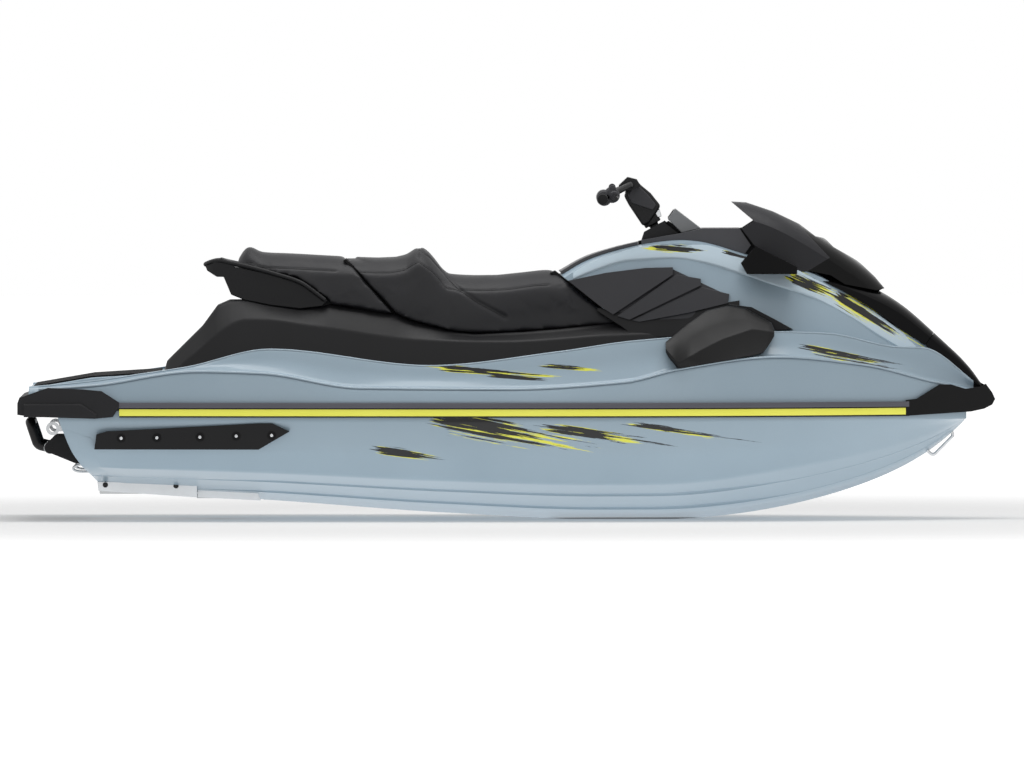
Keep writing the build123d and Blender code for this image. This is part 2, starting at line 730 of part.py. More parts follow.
def make_jet_pump():
    """Pump housing, stator and outlet, with the nozzle pins and the bucket brackets."""
    r = pump_r + pump_wall
    body = spun([
        (202, flange_r), (190, flange_r), (190, r), (112, r), (32, reducer_r), (7, reducer_r),
        (7, reducer_r - 8), (32, reducer_r - 8), (112, pump_r), (202, pump_r),
    ], jet_x, jet_z)
    body += spun([(48, 0), (56, 16), (75, 26), (128, 26), (128, 0)], jet_x, jet_z)
    vane_count = 6
    for i in range(vane_count):
        vane = block(70, 106, -2.5, 2.5, 20, reducer_r + 18)
        body += Pos(jet_x, 0, jet_z) * Rot(X=360 / vane_count * i) * vane
    for up in (1, -1):
        arm_low, arm_high = sorted((up * (reducer_r - 4), up * (reducer_r + 10)))
        body += block(jet_x - 12, jet_x + 30, -11, 11, jet_z + arm_low, jet_z + arm_high)
        pin_end = nozzle_bore_r + nozzle_wall + 2
        body += rod((jet_x, 0, jet_z + up * reducer_r), (jet_x, 0, jet_z + up * pin_end), pin_r)
    for hand in (1, -1):
        low, high = sorted((hand * (bucket_y - 10), hand * (bucket_y - 6)))
        body += block(jet_x - 16, pump_face_x - 12, low, high, jet_z - 16, jet_z + 16)
        low, high = sorted((hand * (pump_r + 4), hand * (bucket_y - 6)))
        body += block(pump_aft_x + 2, pump_face_x - 12, low, high, jet_z - 16, jet_z + 16)
        pin_end = bucket_y + bucket_wall + 2
        body += rod((jet_x, hand * (bucket_y - 10), jet_z), (jet_x, hand * pin_end, jet_z), pin_r)
    bearing = rod((jet_x + 80, 0, jet_z), (jet_x + 130, 0, jet_z), 10 + run_gap)
    return body - bearing - spun([(8, 0), (8, 30), (40, 30), (40, 0)], jet_x, jet_z)


def make_impeller():
    """Driven screw with its shaft and the coupling to the engine."""
    hub_x, hub_r = jet_x + 134, 26
    root_r, tip_r = hub_r - 4, pump_r - 5
    body = rod((hub_x, 0, jet_z), (hub_x + 52, 0, jet_z), hub_r)
    body += rod((jet_x + 90, 0, jet_z), (hub_x + 1, 0, jet_z), 10)
    body += rod((hub_x + 50, 0, jet_z), (engine_aft_x - 5, 0, jet_z), shaft_r)
    body += rod((engine_aft_x - 45, 0, jet_z), (engine_aft_x - 6, 0, jet_z), 32)
    blade_count = 4
    for i in range(blade_count):
        sections = []
        for k in range(5):
            blade = Plane.YZ * (Pos(0, (root_r + tip_r) / 2) * Rectangle(5, tip_r - root_r))
            sections.append(Pos(4 + 11 * k, 0, 0) * Rot(X=22 * k) * blade)
        body += Pos(hub_x, 0, jet_z) * Rot(X=360 / blade_count * i) * loft(sections, ruled=True)
    return body


def make_steering_nozzle():
    r = nozzle_bore_r
    w = nozzle_wall
    front_x = 14.0
    exit_x = front_x - nozzle_length
    bore = [(front_x, r), (-14, r), (exit_x, nozzle_exit_r)]
    skin = [(exit_x, nozzle_exit_r + w - 1), (-14, r + w), (front_x, r + w)]
    body = spun(bore + skin, jet_x, jet_z)
    ear = block(jet_x - 40, jet_x - 12, 22, 46, jet_z + r - 18, jet_z + r + 2)
    body += ear - spun([(front_x, 0), *bore, (exit_x, 0)], jet_x, jet_z)
    pin = rod((jet_x, 0, jet_z - 2 * r), (jet_x, 0, jet_z + 2 * r), pin_r + run_gap)
    eye = rod((jet_x - 30, 36, jet_z), (jet_x - 30, 36, jet_z + 2 * r), 3.5)
    return body - pin - eye


def make_reverse_bucket():
    """Scoop that turns the jet forward, drawn astern and then swung up to its stowed place."""
    outer = bucket_r + bucket_wall
    wide = bucket_y + bucket_wall
    drum = rod((0, -wide, 0), (0, wide, 0), outer) - rod((0, -bucket_y, 0), (0, bucket_y, 0), bucket_r)
    spread = math.radians(36)
    reach = 1.4 * outer
    wedge = side_mm([
        (18, -14), (18, 14), (0, 20), (-reach * math.cos(spread), reach * math.sin(spread)),
        (-reach * math.cos(spread), -reach * math.sin(spread)), (0, -20)], -wide, wide)
    body = (drum & wedge) - rod((0, -2 * wide, 0), (0, 2 * wide, 0), pin_r + run_gap)
    return Pos(jet_x, 0, jet_z) * Rot(Y=bucket_up) * body


def make_engine():
    long, wide, high = engine_size
    return block(engine_aft_x, engine_aft_x + long, -wide / 2, wide / 2, bay_floor_z, bay_floor_z + high)


# ---------------------------------------------------------------- steering
def along_column(distance):
    lean = math.radians(steer_lean)
    x, y, z = steer_foot
    return (x - distance * math.sin(lean), y, z + distance * math.cos(lean))


def make_column():
    body = rod(along_column(-30), along_column(40), steer_shaft_r)
    return body + rod(along_column(8), along_column(clamp_reach - bar_r), column_r)


def grip_line():
    """Side view place of both grips' centreline."""
    x, y, z = along_column(clamp_reach)
    return x - bar_sweep, z - bar_drop


def bar_path():
    x, y, z = along_column(clamp_reach)
    end_x, end_z = grip_line()
    return FilletPolyline(
        (end_x, -bar_half, end_z), (end_x, -235, end_z), (x, -110, z), (x, 110, z), (end_x, 235, end_z),
        (end_x, bar_half, end_z), radius=30)


def make_handlebar():
    return tube_along(bar_path(), bar_r)


def make_grip(hand):
    """Closed-ended rubber sleeve on the end of the bar."""
    x, z = grip_line()
    inner_y = hand * (bar_half - grip_length)
    sleeve = rod((x, hand * (bar_half + 4), z), (x, inner_y, z), grip_r)
    return sleeve - rod((x, hand * bar_half, z), (x, inner_y, z), bar_r)


def make_bar_pad():
    x, y, z = along_column(clamp_reach)
    corners = [
        (x - 42, z - 4), (x - 10, z + 26), (x + 22, z + 18), (x + 34, z - 2), (x + 14, z - 16),
        (x - 26, z - 22)]
    return side_mm(corners, -92, 92, 5)


def make_control_pod(hand):
    """Switch housing with its finger lever beside the grip."""
    x, z = grip_line()
    low, high = sorted((hand * 240, hand * 266))
    housing = side_mm(
        [(x - 14, z - 20), (x - 20, z + 12), (x + 6, z + 34), (x + 52, z + 28), (x + 58, z - 4),
         (x + 22, z - 22)], low, high, 5)
    return housing + rod((x + 50, hand * 258, z + 6), (x + 46, hand * 360, z + 2), 6)


# ---------------------------------------------------------------- small fittings at the ends
def make_boarding_step():
    """Folded U of tube that swings down below the platform."""
    top_x, top_z = step_x - 68, step_z + 87
    y = step_y
    path = FilletPolyline(
        (step_x, -y, step_z), (step_x - 42, -y, step_z + 10), (top_x, -y, top_z), (top_x, y, top_z),
        (step_x - 42, y, step_z + 10), (step_x, y, step_z), radius=22)
    body = tube_along(path, step_tube_r)
    for hand in (1, -1):
        body += rod((step_x, hand * y - 20, step_z), (step_x, hand * y + 20, step_z), step_tube_r + 3)
    return body - rod((step_x, -beam, step_z), (step_x, beam, step_z), step_pin_r + run_gap)


def make_step_bracket():
    """Cheek plates on the transom that hold the step's hinge pin, port side."""
    y = step_y
    cheek = 26.0
    outline = [
        (step_x - 14, step_z - 12), (step_x - 14, step_z + 12), (step_x + 14, step_z + 41),
        (lean_x(48) + 8, step_z + 41), (lean_x(-45) + 8, step_z - 52), (lean_x(-45) - 22, step_z - 52),
    ]
    body = side_mm(outline, y - cheek - 6, y + cheek + 6, 4)
    body -= block(step_x - 40, step_x + step_swing, y - cheek, y + cheek, step_z - 80, step_z + 80)
    return body + rod((step_x, y - cheek - 8, step_z), (step_x, y + cheek + 8, step_z), step_pin_r)


def make_stern_eye():
    """Towing eye on the transom, port side: a ring with a straight bore on a welded tab."""
    x = lean_x(eye_z) - eye_reach
    body = rod((x, eye_y - 6, eye_z), (x, eye_y + 6, eye_z), eye_bore_r + 11)
    body += block(x, x + eye_reach + 12, eye_y - 6, eye_y + 6, eye_z - 10, eye_z + 10)
    return body - rod((x, 0, eye_z), (x, beam, eye_z), eye_bore_r)


def make_bow_eye():
    """U of round bar on the stem."""
    out, root, bar = 11.0, 8.0, 5.5
    (low_x, low_z), (high_x, high_z) = (0.866 * half_length, -14), (0.91 * half_length, 60)
    path = FilletPolyline(
        (low_x - root, 0, low_z + root), (low_x + out, 0, low_z - out), (high_x + out, 0, high_z - out),
        (high_x - root, 0, high_z + root), radius=14)
    return tube_along(path, bar)


# ---------------------------------------------------------------- assembly
hull = make_hull()
deck = make_deck()
port_mat, rear_mat = make_mats()
loft_body = cowl_loft()
strip = strip_loft()
pedestal = make_pedestal(deck)
cowl = make_cowl(loft_body, deck)
nose_panel = make_nose_panel(strip) - cowl - deck
bow_bumper = make_bow_bumper() - hull - deck - nose_panel
stern_bumper = make_stern_bumper() - hull - deck
rails = make_rub_rails() - hull - deck - bow_bumper - stern_bumper
port_side = block(-half_length, half_length, 0.5, beam, -400, 1000)
starboard_side = flipped(port_side)
sponson = make_sponson() - hull
clear_cowl = cowl_loft(lift_gap)
windscreen = make_windscreen() - clear_cowl
mirror_port = make_mirror(windscreen) - cowl_loft(lift_gap + 2)
vent = make_side_vent(loft_body) - pedestal
pod = make_footwell_pod() - deck - loft_body - vent - pedestal
column = make_column()
shaft_bore = rod(along_column(-60), along_column(60), steer_shaft_r + run_gap)
cover = make_steering_cover() - loft_body - shaft_bore
console = make_console() - loft_body - cover
console -= rod(along_column(-80), along_column(60), steer_shaft_r + 5)
gauge = make_gauge_pod() - console - cover
handlebar = make_handlebar()
step_bracket = make_step_bracket() - hull
stern_eye = make_stern_eye() - hull

nodes = {
    "hull": hull,
    "deck": deck,
    "rub_rail_left": rails & port_side,
    "rub_rail_right": rails & starboard_side,
    "bow_bumper": bow_bumper,
    "stern_bumper": stern_bumper,
    "sponson_left": sponson,
    "sponson_right": flipped(sponson),
    "foot_mat_left": port_mat,
    "foot_mat_right": flipped(port_mat),
    "rear_mat": rear_mat,
    "seat_pedestal": pedestal,
    "front_seat": make_front_seat(),
    "rear_seat": make_rear_seat(),
    "grab_handle": make_grab_handle(),
    "front_cowl": cowl,
    "side_vent_left": vent,
    "side_vent_right": flipped(vent),
    "footwell_pod_left": pod,
    "footwell_pod_right": flipped(pod),
    "console": console,
    "steering_cover": cover,
    "gauge_pod": gauge,
    "glovebox_lid": make_glovebox_lid() - cover - console,
    "windscreen": windscreen,
    "hood_panel": make_hood_panel(strip),
    "mirror_left": mirror_port,
    "mirror_right": flipped(mirror_port),
    "nose_panel": nose_panel,
    "steering_column": column,
    "handlebar": handlebar,
    "handlebar_pad": make_bar_pad() - handlebar - column,
    "grip_left": make_grip(1),
    "grip_right": make_grip(-1),
    "control_pod_left": make_control_pod(1) - handlebar,
    "control_pod_right": make_control_pod(-1) - handlebar,
    "engine": make_engine(),
    "jet_pump": make_jet_pump(),
    "impeller": make_impeller(),
    "steering_nozzle": make_steering_nozzle(),
    "reverse_bucket": make_reverse_bucket(),
    "ride_plate": make_ride_plate(),
    "intake_grate": make_intake_grate(),
    "boarding_step": make_boarding_step(),
    "step_bracket_left": step_bracket,
    "step_bracket_right": flipped(step_bracket),
    "stern_eye_left": stern_eye,
    "stern_eye_right": flipped(stern_eye),
    "bow_eye": make_bow_eye() - hull,
}
for name, shape in nodes.items():
    export_step(shape, f"parts/{name}.step")
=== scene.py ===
import math
import bpy
import bmesh
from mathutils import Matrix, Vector
from mathutils.bvhtree import BVHTree
from mathutils.kdtree import KDTree


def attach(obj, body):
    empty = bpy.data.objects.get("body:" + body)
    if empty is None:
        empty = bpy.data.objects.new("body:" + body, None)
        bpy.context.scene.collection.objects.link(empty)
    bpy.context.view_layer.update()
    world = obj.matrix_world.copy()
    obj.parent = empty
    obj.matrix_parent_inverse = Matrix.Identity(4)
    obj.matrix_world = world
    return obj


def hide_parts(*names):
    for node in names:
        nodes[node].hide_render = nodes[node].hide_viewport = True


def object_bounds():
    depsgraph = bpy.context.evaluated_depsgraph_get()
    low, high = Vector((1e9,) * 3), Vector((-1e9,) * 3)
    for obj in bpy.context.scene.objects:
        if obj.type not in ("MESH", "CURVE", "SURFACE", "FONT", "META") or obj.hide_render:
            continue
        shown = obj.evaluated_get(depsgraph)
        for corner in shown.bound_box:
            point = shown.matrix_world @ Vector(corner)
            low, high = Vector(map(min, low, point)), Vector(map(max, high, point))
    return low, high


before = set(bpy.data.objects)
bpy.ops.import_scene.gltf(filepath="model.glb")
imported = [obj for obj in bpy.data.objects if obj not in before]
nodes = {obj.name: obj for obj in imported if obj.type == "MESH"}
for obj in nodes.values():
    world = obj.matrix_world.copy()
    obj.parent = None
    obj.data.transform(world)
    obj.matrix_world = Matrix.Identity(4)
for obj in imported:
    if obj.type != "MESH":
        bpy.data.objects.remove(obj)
cad_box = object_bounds()


# ---------------------------------------------------------------- hull
# The hull is one glass-fibre moulding with a deep vee, two strakes a side and a chine.
# It is sprayed in the mould with metallic gelcoat, which comes out as smooth as the mould.
# All heights and widths below are in millimetres, and stations run from -1 at the stern to 1 at the stem.
half_length = 1675.0
flange_beam = 598.5
transom_line = ((-112, -0.834), (-20, -0.881), (140, -0.921))


def fair(*knots):
    """Smooth monotone curve through (station, value) knots."""
    xs, ys = zip(*knots)
    slopes = [(ys[i + 1] - ys[i]) / (xs[i + 1] - xs[i]) for i in range(len(xs) - 1)]
    turns = [slopes[0]]
    for a, b in zip(slopes, slopes[1:]):
        turns.append(0.0 if a * b <= 0 else 2 * a * b / (a + b))
    turns.append(slopes[-1])

    def value(x):
        x = min(max(x, xs[0]), xs[-1])
        i = max(k for k in range(len(xs) - 1) if xs[k] <= x)
        h = xs[i + 1] - xs[i]
        t = (x - xs[i]) / h
        return ((1 + 2 * t) * (1 - t) ** 2 * ys[i] + t * (1 - t) ** 2 * h * turns[i]
                + t * t * (3 - 2 * t) * ys[i + 1] + t * t * (t - 1) * h * turns[i + 1])

    return value


def spread(first, last, count):
    return [first + (last - first) * i / (count - 1) for i in range(count)]


def rounded(corners):
    """Points of an outline whose corners (y, z, radius) are turned on a small arc."""
    points = []
    for i, (y, z, radius) in enumerate(corners):
        if not radius or i in (0, len(corners) - 1):
            points.append((y, z))
            continue
        here = Vector((y, z))
        arms = []
        for other in (corners[i - 1], corners[i + 1]):
            arm = Vector(other[:2]) - here
            arms.append(arm * min(radius / max(arm.length, 1e-6), 0.45))
        for t in (0.0, 0.25, 0.5, 0.75, 1.0):
            points.append(tuple(here + arms[0] * (1 - t) ** 2 + arms[1] * t ** 2))
    return points


def placed(name, data):
    obj = bpy.data.objects.new(name, data)
    bpy.context.scene.collection.objects.link(obj)
    return obj


def skin(name, rows, caps=(False, False), drop=None):
    """Smooth surface through rows of (x, y, z) points in millimetres."""
    shell = bmesh.new()
    grid = [[shell.verts.new(Vector(p) / 1000) for p in row] for row in rows]
    for a, b in zip(grid, grid[1:]):
        for i in range(len(a) - 1):
            shell.faces.new((a[i], a[i + 1], b[i + 1], b[i]))
    if caps[0]:
        shell.faces.new(list(reversed(grid[0])))
    if caps[1]:
        shell.faces.new(grid[-1])
    bmesh.ops.remove_doubles(shell, verts=shell.verts, dist=0.00005)
    bmesh.ops.recalc_face_normals(shell, faces=shell.faces)
    if drop:
        gone = [f for f in shell.faces if drop(*(f.calc_center_median() * 1000))]
        bmesh.ops.delete(shell, geom=gone, context="FACES")
    mesh = bpy.data.meshes.new(name)
    shell.to_mesh(mesh)
    shell.free()
    mesh.polygons.foreach_set("use_smooth", [True] * len(mesh.polygons))
    obj = placed(name, mesh)
    return obj


def both_sides(x, half):
    """Row of points from the port edge over the centreline to the starboard edge."""
    port = [(x(z) if callable(x) else x, y, z) for y, z in half]
    return port + [(px, -y, z) for px, y, z in reversed(port) if y > 0.01]


def finish_piece(obj, finish, body="craft", sharp=None):
    obj.data.materials.append(finish)
    if sharp:
        split = obj.modifiers.new("split", "EDGE_SPLIT")
        split.split_angle = math.radians(sharp)
    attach(obj, body)
    return obj


def colour(code):
    channels = [int(code[i:i + 2], 16) / 255 for i in (1, 3, 5)]
    return [c / 12.92 if c <= 0.04045 else ((c + 0.055) / 1.055) ** 2.4 for c in channels] + [1.0]


def add(tree, kind, inputs=None, **settings):
    """Adds a node with its settings, and its inputs as values or as sockets to link."""
    item = tree.nodes.new(kind)
    for name, value in settings.items():
        setattr(item, name, value)
    for name, value in (inputs or {}).items():
        if isinstance(value, bpy.types.NodeSocket):
            tree.links.new(value, item.inputs[name])
        else:
            item.inputs[name].default_value = value
    return item


def local_place(tree):
    return add(tree, "ShaderNodeTexCoord").outputs["Object"]


def aligned(tree, place, way):
    """How far a place lies along a way."""
    return add(tree, "ShaderNodeVectorMath", {0: place, 1: way}, operation="DOT_PRODUCT").outputs["Value"]


def reckon(tree, operation, *values):
    """Result of one sum on values or sockets."""
    return add(tree, "ShaderNodeMath", dict(enumerate(values)), operation=operation).outputs[0]


def between(tree, value, start, end, first, last, **settings):
    """Carries a value from the span start to end over to the span first to last."""
    return add(tree, "ShaderNodeMapRange", {0: value, 1: start, 2: end, 3: first, 4: last}, **settings).outputs[0]


def blend(tree, share, here, there):
    return add(tree, "ShaderNodeMix", {0: share, 6: here, 7: there}, data_type="RGBA").outputs[2]


def cloudy(tree, shader, cloud, dark, light, smoothest, roughest):
    """Lets a soft noise move the colour between two tones, and the roughness between two values."""
    tree.links.new(blend(tree, cloud.outputs["Fac"], colour(dark), colour(light)), shader.inputs["Base Color"])
    tree.links.new(between(tree, cloud.outputs["Fac"], 0.3, 0.7, smoothest, roughest), shader.inputs["Roughness"])


def pressed(tree, shader, height, strength, depth, **under):
    bump = add(tree, "ShaderNodeBump", {"Height": height, "Strength": strength, "Distance": depth, **under})
    tree.links.new(bump.outputs[0], shader.inputs["Normal"])


def material(name, **inputs):
    made = bpy.data.materials.new(name)
    made.use_nodes = True
    tree = made.node_tree
    shader = tree.nodes["Principled BSDF"]
    for key, value in inputs.items():
        shader.inputs[key.replace("_", " ")].default_value = value
    return made, tree, shader


def flange_half(s):
    """Half width of the flange where the hull and the deck are bonded."""
    if s > -0.05:
        return flange_beam * (1 - ((s + 0.05) / 1.05) ** 2.6)
    return flange_beam * (1 - 0.13 * ((-0.05 - s) / 0.95) ** 2)


keel_aft = fair((-1.0, -135), (-0.52, -171), (-0.13, -217), (0.19, -240), (0.30, -240))
chine_share = fair((-1.0, 0.36), (0.3, 0.37), (0.6, 0.45), (0.94, 0.55))
knuckle_share = fair((-1.0, 0.60), (0.0, 0.69), (0.6, 0.70), (0.94, 0.80))
chine_beam = fair((-1.0, 0.80), (0.0, 0.80), (0.5, 0.70), (0.94, 0.50))
knuckle_beam = fair((-1.0, 0.93), (0.3, 0.92), (0.94, 0.72))
strake_fade = fair((-0.6, 0.0), (-0.45, 1.0), (0.4, 1.0), (0.6, 0.0))
chine_round = fair((-0.8, 4.0), (-0.6, 16.0))
transom = fair(*transom_line)
keel_cover = 1.5      # what the gelcoat skin adds below the keel


def hull_half(s):
    """One side of the hull's outline at a station, from the flange down to the keel."""
    keel = keel_aft(s)
    if s > 0.3:
        rise = (s - 0.3) / 0.638
        keel = -240 + 342 * (0.77 * rise ** 2 + 0.23 * rise ** 8)
    keel -= keel_cover
    depth, wide = 105 - keel, flange_half(s) + 1.5
    chine_y, chine_z = chine_beam(s) * wide, keel + chine_share(s) * depth
    lip = 4 + 20 * strake_fade(s)
    corners = [(0, keel, 0)]
    slope = (chine_z - keel) / chine_y
    for share in (0.27, 0.65):
        inner = share * chine_y
        outer = inner + lip
        corners += [(inner, keel + inner * slope, 6), (outer, keel + inner * slope, 5),
                    (outer, keel + outer * slope, 7)]
    corners += [(chine_y + 1, chine_z - 1, chine_round(s)),
                (knuckle_beam(s) * wide, keel + knuckle_share(s) * depth, 26), (wide, 105, 8), (wide, 138, 0)]
    return rounded(corners)[::-1]


rows = []
for step in spread(0, 1, 7):
    s = -0.92 + 0.14 * step
    rows.append(both_sides(
        lambda z: half_length * (transom(z) * (1 - step) - 0.78 * step) - 1.0 * (1 - step), hull_half(s)))
for s in spread(-0.765, 0.93, 90) + [0.934, 0.937]:
    rows.append(both_sides(s * half_length, hull_half(s)))
hull_skin = skin("hull_skin", rows, drop=lambda x, y, z: x < -840 and abs(y) < 182)

torn_length, torn_width = 0.34, 0.0095     # metres, of one shred of a torn streak
torn_depth, ink_edge = 0.21, 0.012


def sprayed_gelcoat(name, streaks=(), tones=("#8EA1AE", "#AABCC8"), polish=0.25):
    """Ice blue metallic gelcoat, with black and yellow streaks masked off and sprayed over it. The clear coat
    gives a soft shine, and the flakes are drawn 1 mm wide, coarser than real ones, so that they show.
    A streak runs from (x, z) to (x, z) in metres, and has a half width in metres and a seed."""
    made, tree, shader = material(name, Roughness=0.3, Coat_Weight=polish, Coat_Roughness=0.05, Specular_IOR_Level=0.3)
    place = local_place(tree)
    flake = add(tree, "ShaderNodeTexNoise", {"Vector": place, "Scale": 900.0, "Detail": 1.0})
    broad = add(tree, "ShaderNodeTexNoise", {"Vector": place, "Scale": 2.2, "Detail": 2.0})
    mixed = reckon(tree, "MULTIPLY", flake.outputs["Fac"], broad.outputs["Fac"])
    paint = blend(tree, mixed, colour(tones[0]), colour(tones[1]))
    inks = [None, None]
    for (x0, z0), (x1, z1), width, seed in streaks:
        run = Vector((x1 - x0, 0, z1 - z0))
        length = run.length
        across = Vector((run.z, 0, -run.x)) / length / width
        run = run / length ** 2
        u = reckon(tree, "SUBTRACT", aligned(tree, place, run), run.x * x0 + run.z * z0)
        v = reckon(tree, "SUBTRACT", aligned(tree, place, across), across.x * x0 + across.z * z0)
        taper = reckon(tree, "MINIMUM", between(tree, u, 0.0, 0.22, -0.8, 1.0), between(tree, u, 0.35, 1.0, 1.0, -0.8))
        inside = reckon(tree, "SUBTRACT", taper, reckon(tree, "MULTIPLY", v, v))
        for i in range(2):
            spot = add(tree, "ShaderNodeCombineXYZ", {0: u, 1: v, 2: seed + 7.3 * i})
            torn = add(tree, "ShaderNodeMapping", {"Vector": spot.outputs[0],
                                                   "Scale": (length / torn_length, width / torn_width, 1.0)})
            noise = add(tree, "ShaderNodeTexNoise", {"Vector": torn.outputs[0], "Scale": 1.0, "Detail": 6.0,
                                                     "Roughness": 0.66})
            ink = reckon(tree, "MULTIPLY_ADD", inside, torn_depth, noise.outputs["Fac"])
            inks[i] = ink if inks[i] is None else reckon(tree, "MAXIMUM", inks[i], ink)
    if streaks:
        for code, ink, low in (("#E2E250", inks[1], 0.622), ("#0B0B0C", inks[0], 0.610)):
            paint = blend(tree, between(tree, ink, low, low + ink_edge, 0.0, 1.0), paint, colour(code))
    tree.links.new(paint, shader.inputs["Base Color"])
    return made


hull_streaks = [
    ((-0.42, 0.145), (0.62, -0.045), 0.050, 3), ((-0.20, 0.115), (0.34, 0.0), 0.030, 7),
    ((0.02, 0.10), (0.80, -0.015), 0.020, 12), ((-0.52, 0.02), (-0.05, -0.05), 0.020, 21),
    ((0.30, 0.11), (1.02, 0.01), 0.013, 31),
]
gelcoat = sprayed_gelcoat("metallic_gelcoat_ice_blue")
hull_gelcoat = sprayed_gelcoat("metallic_gelcoat_hull_livery", hull_streaks)
finish_piece(hull_skin, hull_gelcoat)


def round_edges(obj, edge):
    bevel = obj.modifiers.new("edge", "BEVEL")
    bevel.width = edge / 1000
    bevel.segments = 3
    bevel.limit_method = "ANGLE"
    bevel.angle_limit = math.radians(24)
    obj.modifiers.new("shade", "WEIGHTED_NORMAL")


def dress(names, finish, edge=0.0, sharp=32):
    """Moulded parts kept from the frame: their finish, and edges rounded by so many millimetres."""
    for name in names:
        obj = nodes[name]
        for place in obj.material_slots:
            place.material = finish
        obj.data.polygons.foreach_set("use_smooth", [True] * len(obj.data.polygons))
        weld = obj.modifiers.new("weld", "WELD")
        weld.merge_threshold = 0.00002
        if edge:
            flat = obj.modifiers.new("flat", "DECIMATE")
            flat.decimate_type = "DISSOLVE"
            flat.angle_limit = math.radians(2)
            round_edges(obj, edge)
        else:
            split = obj.modifiers.new("split", "EDGE_SPLIT")
            split.split_angle = math.radians(sharp)


dress(["hull"], gelcoat)

# ---------------------------------------------------------------- deck
# The deck is a second moulding, bonded to the hull flange. Its side has a lower band, a rounded ledge
# and a hollow upper band, and behind the crest it drops into the footwells.
gunwale_top = fair((-1.0, 216), (-0.848, 240), (-0.75, 264), (-0.652, 289), (-0.484, 350), (-0.158, 294), (0.108, 342),
                   (0.26, 378), (0.545, 407), (0.654, 401), (0.80, 353), (0.85, 350), (0.965, 222))
gunwale_ledge = fair((-1.0, 206), (-0.85, 222), (-0.63, 272), (-0.50, 266), (-0.30, 216), (0.0, 212), (0.24, 236),
                     (0.35, 279), (0.55, 320), (0.73, 291), (0.873, 231), (0.965, 198))
platform_front, toe_start, well_front = -0.70, 0.2793, 0.345
bin_ends = (0.645, 0.785)


def gunwale_y(s):
    return flange_half(s) * (0.84 - 0.2 * max(0.0, s) ** 2)


wall_y = fair((-0.70, gunwale_y(-0.3) - 44), (0.0, gunwale_y(-0.3) - 24), (0.345, gunwale_y(0.345) - 24))


def deck_half(s, zone):
    wide, ledge, top, crest = flange_half(s) + 1, gunwale_ledge(s) + 1, gunwale_top(s) + 1, gunwale_y(s) + 1
    corners = [(wide, 150, 0), (wide, 172, 4), (0.972 * wide, ledge, 15), (0.972 * wide - 32, ledge + 5, 10)]
    rise = max(top - ledge - 10, 4)
    corners += [((0.972 * wide + crest) / 2 - 22, ledge + 0.50 * rise, 40), (crest + 3, top - 6, 7),
                (crest - 6, top, 5)]
    if zone == "platform":
        span = (s + 0.975) / 0.275
        face = 214 + 52 * (0.7 * span / 0.463 if span < 0.463 else 0.7 + 0.3 * (span - 0.463) / 0.537)
        edge = (gunwale_y(-0.975) - 24) * (1 - span) + wall_y(-0.70) * span
        corners += [(crest - 24, top - 1, 3), (edge + 2, top - 3, 3), (edge, face + 0.5, 8), (0, face + 0.5, 0)]
    elif zone == "well":
        floor = 205 + 115 * max(0.0, (s - toe_start) / (well_front - toe_start))
        floor = min(floor, top - 12)
        corners += [(crest - 22, top - 1, 6), (wall_y(s) - 2, floor + 0.5, 14), (200, floor + 0.5, 1),
                    (0, floor + 0.5, 0)]
    elif zone == "top":
        corners += [(crest - 24, top, 1), (0.5 * crest, top, 1), (0.2 * crest, top, 1), (0, top, 0)]
    else:
        corners += [(crest - 24, top, 1), (91, top, 1), (90, 230, 1), (0, 230, 0)]
    return rounded([(max(y, 0.0), z, r) for y, z, r in corners])


zones = [("platform", -0.975, platform_front, 16), ("well", platform_front, toe_start, 50),
         ("well", toe_start, well_front, 5), ("top", well_front, bin_ends[0], 16), ("bin", *bin_ends, 8),
         ("top", bin_ends[1], 0.955, 16)]
rows = []
for zone, first, last, count in zones:
    for s in spread(first, last, count):
        rows.append(both_sides(s * half_length, deck_half(s, zone)))
deck_skin = skin("deck_skin", rows, caps=(True, True))
deck_gelcoat = sprayed_gelcoat("metallic_gelcoat_deck_livery", [
    ((-0.36, 0.295), (0.44, 0.235), 0.014, 5), ((-0.12, 0.265), (0.30, 0.232), 0.010, 9),
    ((0.05, 0.300), (0.52, 0.262), 0.008, 14), ((0.90, 0.372), (1.62, 0.235), 0.022, 23),
])
finish_piece(deck_skin, deck_gelcoat, sharp=50)
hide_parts("deck")
# Narrow rounded beads follow the moulding's two long edges, under more clear coat, so that they catch the light.
bead_gelcoat = sprayed_gelcoat("metallic_gelcoat_polished_edge", polish=1.0)
edges = (("ledge_bead", 0.93, 4.6, lambda s: (0.972 * (flange_half(s) + 1) - 3.0, gunwale_ledge(s) + 0.5)),
         ("gunwale_bead", 0.93, 3.0, lambda s: (gunwale_y(s) + 0.5, gunwale_top(s) - 2.5)))
for name, last, radius, place in edges:
    for hand, side_name in ((1, "left"), (-1, "right")):
        rows = []
        for s in spread(-0.955, last, 110):
            y, z = place(s)
            rows.append([(s * half_length, hand * (y + radius * math.cos(a)), z + radius * math.sin(a))
                         for a in spread(-0.5, 2.6, 9)])
        finish_piece(skin(f"{name}_{side_name}", rows), bead_gelcoat)

# ---------------------------------------------------------------- pedestal
# Black moulded plastic box that carries the seats between the two footwells. One crease runs along each
# side, and the top stands higher under the rear seat than under the front one.
straight_top = ((-0.70, 276), (-0.695, 305), (-0.624, 423), (-0.593, 494), (-0.568, 512), (-0.538, 512), (-0.4835, 494),
                (-0.4236, 482), (-0.378, 491), (-0.36, 499), (-0.227, 464), (-0.191, 439), (-0.111, 404),
                (-0.065, 397), (0.029, 404), (0.108, 414), (0.23, 435), (0.33, 435))
pedestal_crease = fair((-0.70, 235), (-0.649, 317), (-0.5295, 447), (-0.50, 447), (-0.378, 420), (-0.178, 377),
                       (0.0, 372), (0.2, 392), (0.33, 400))


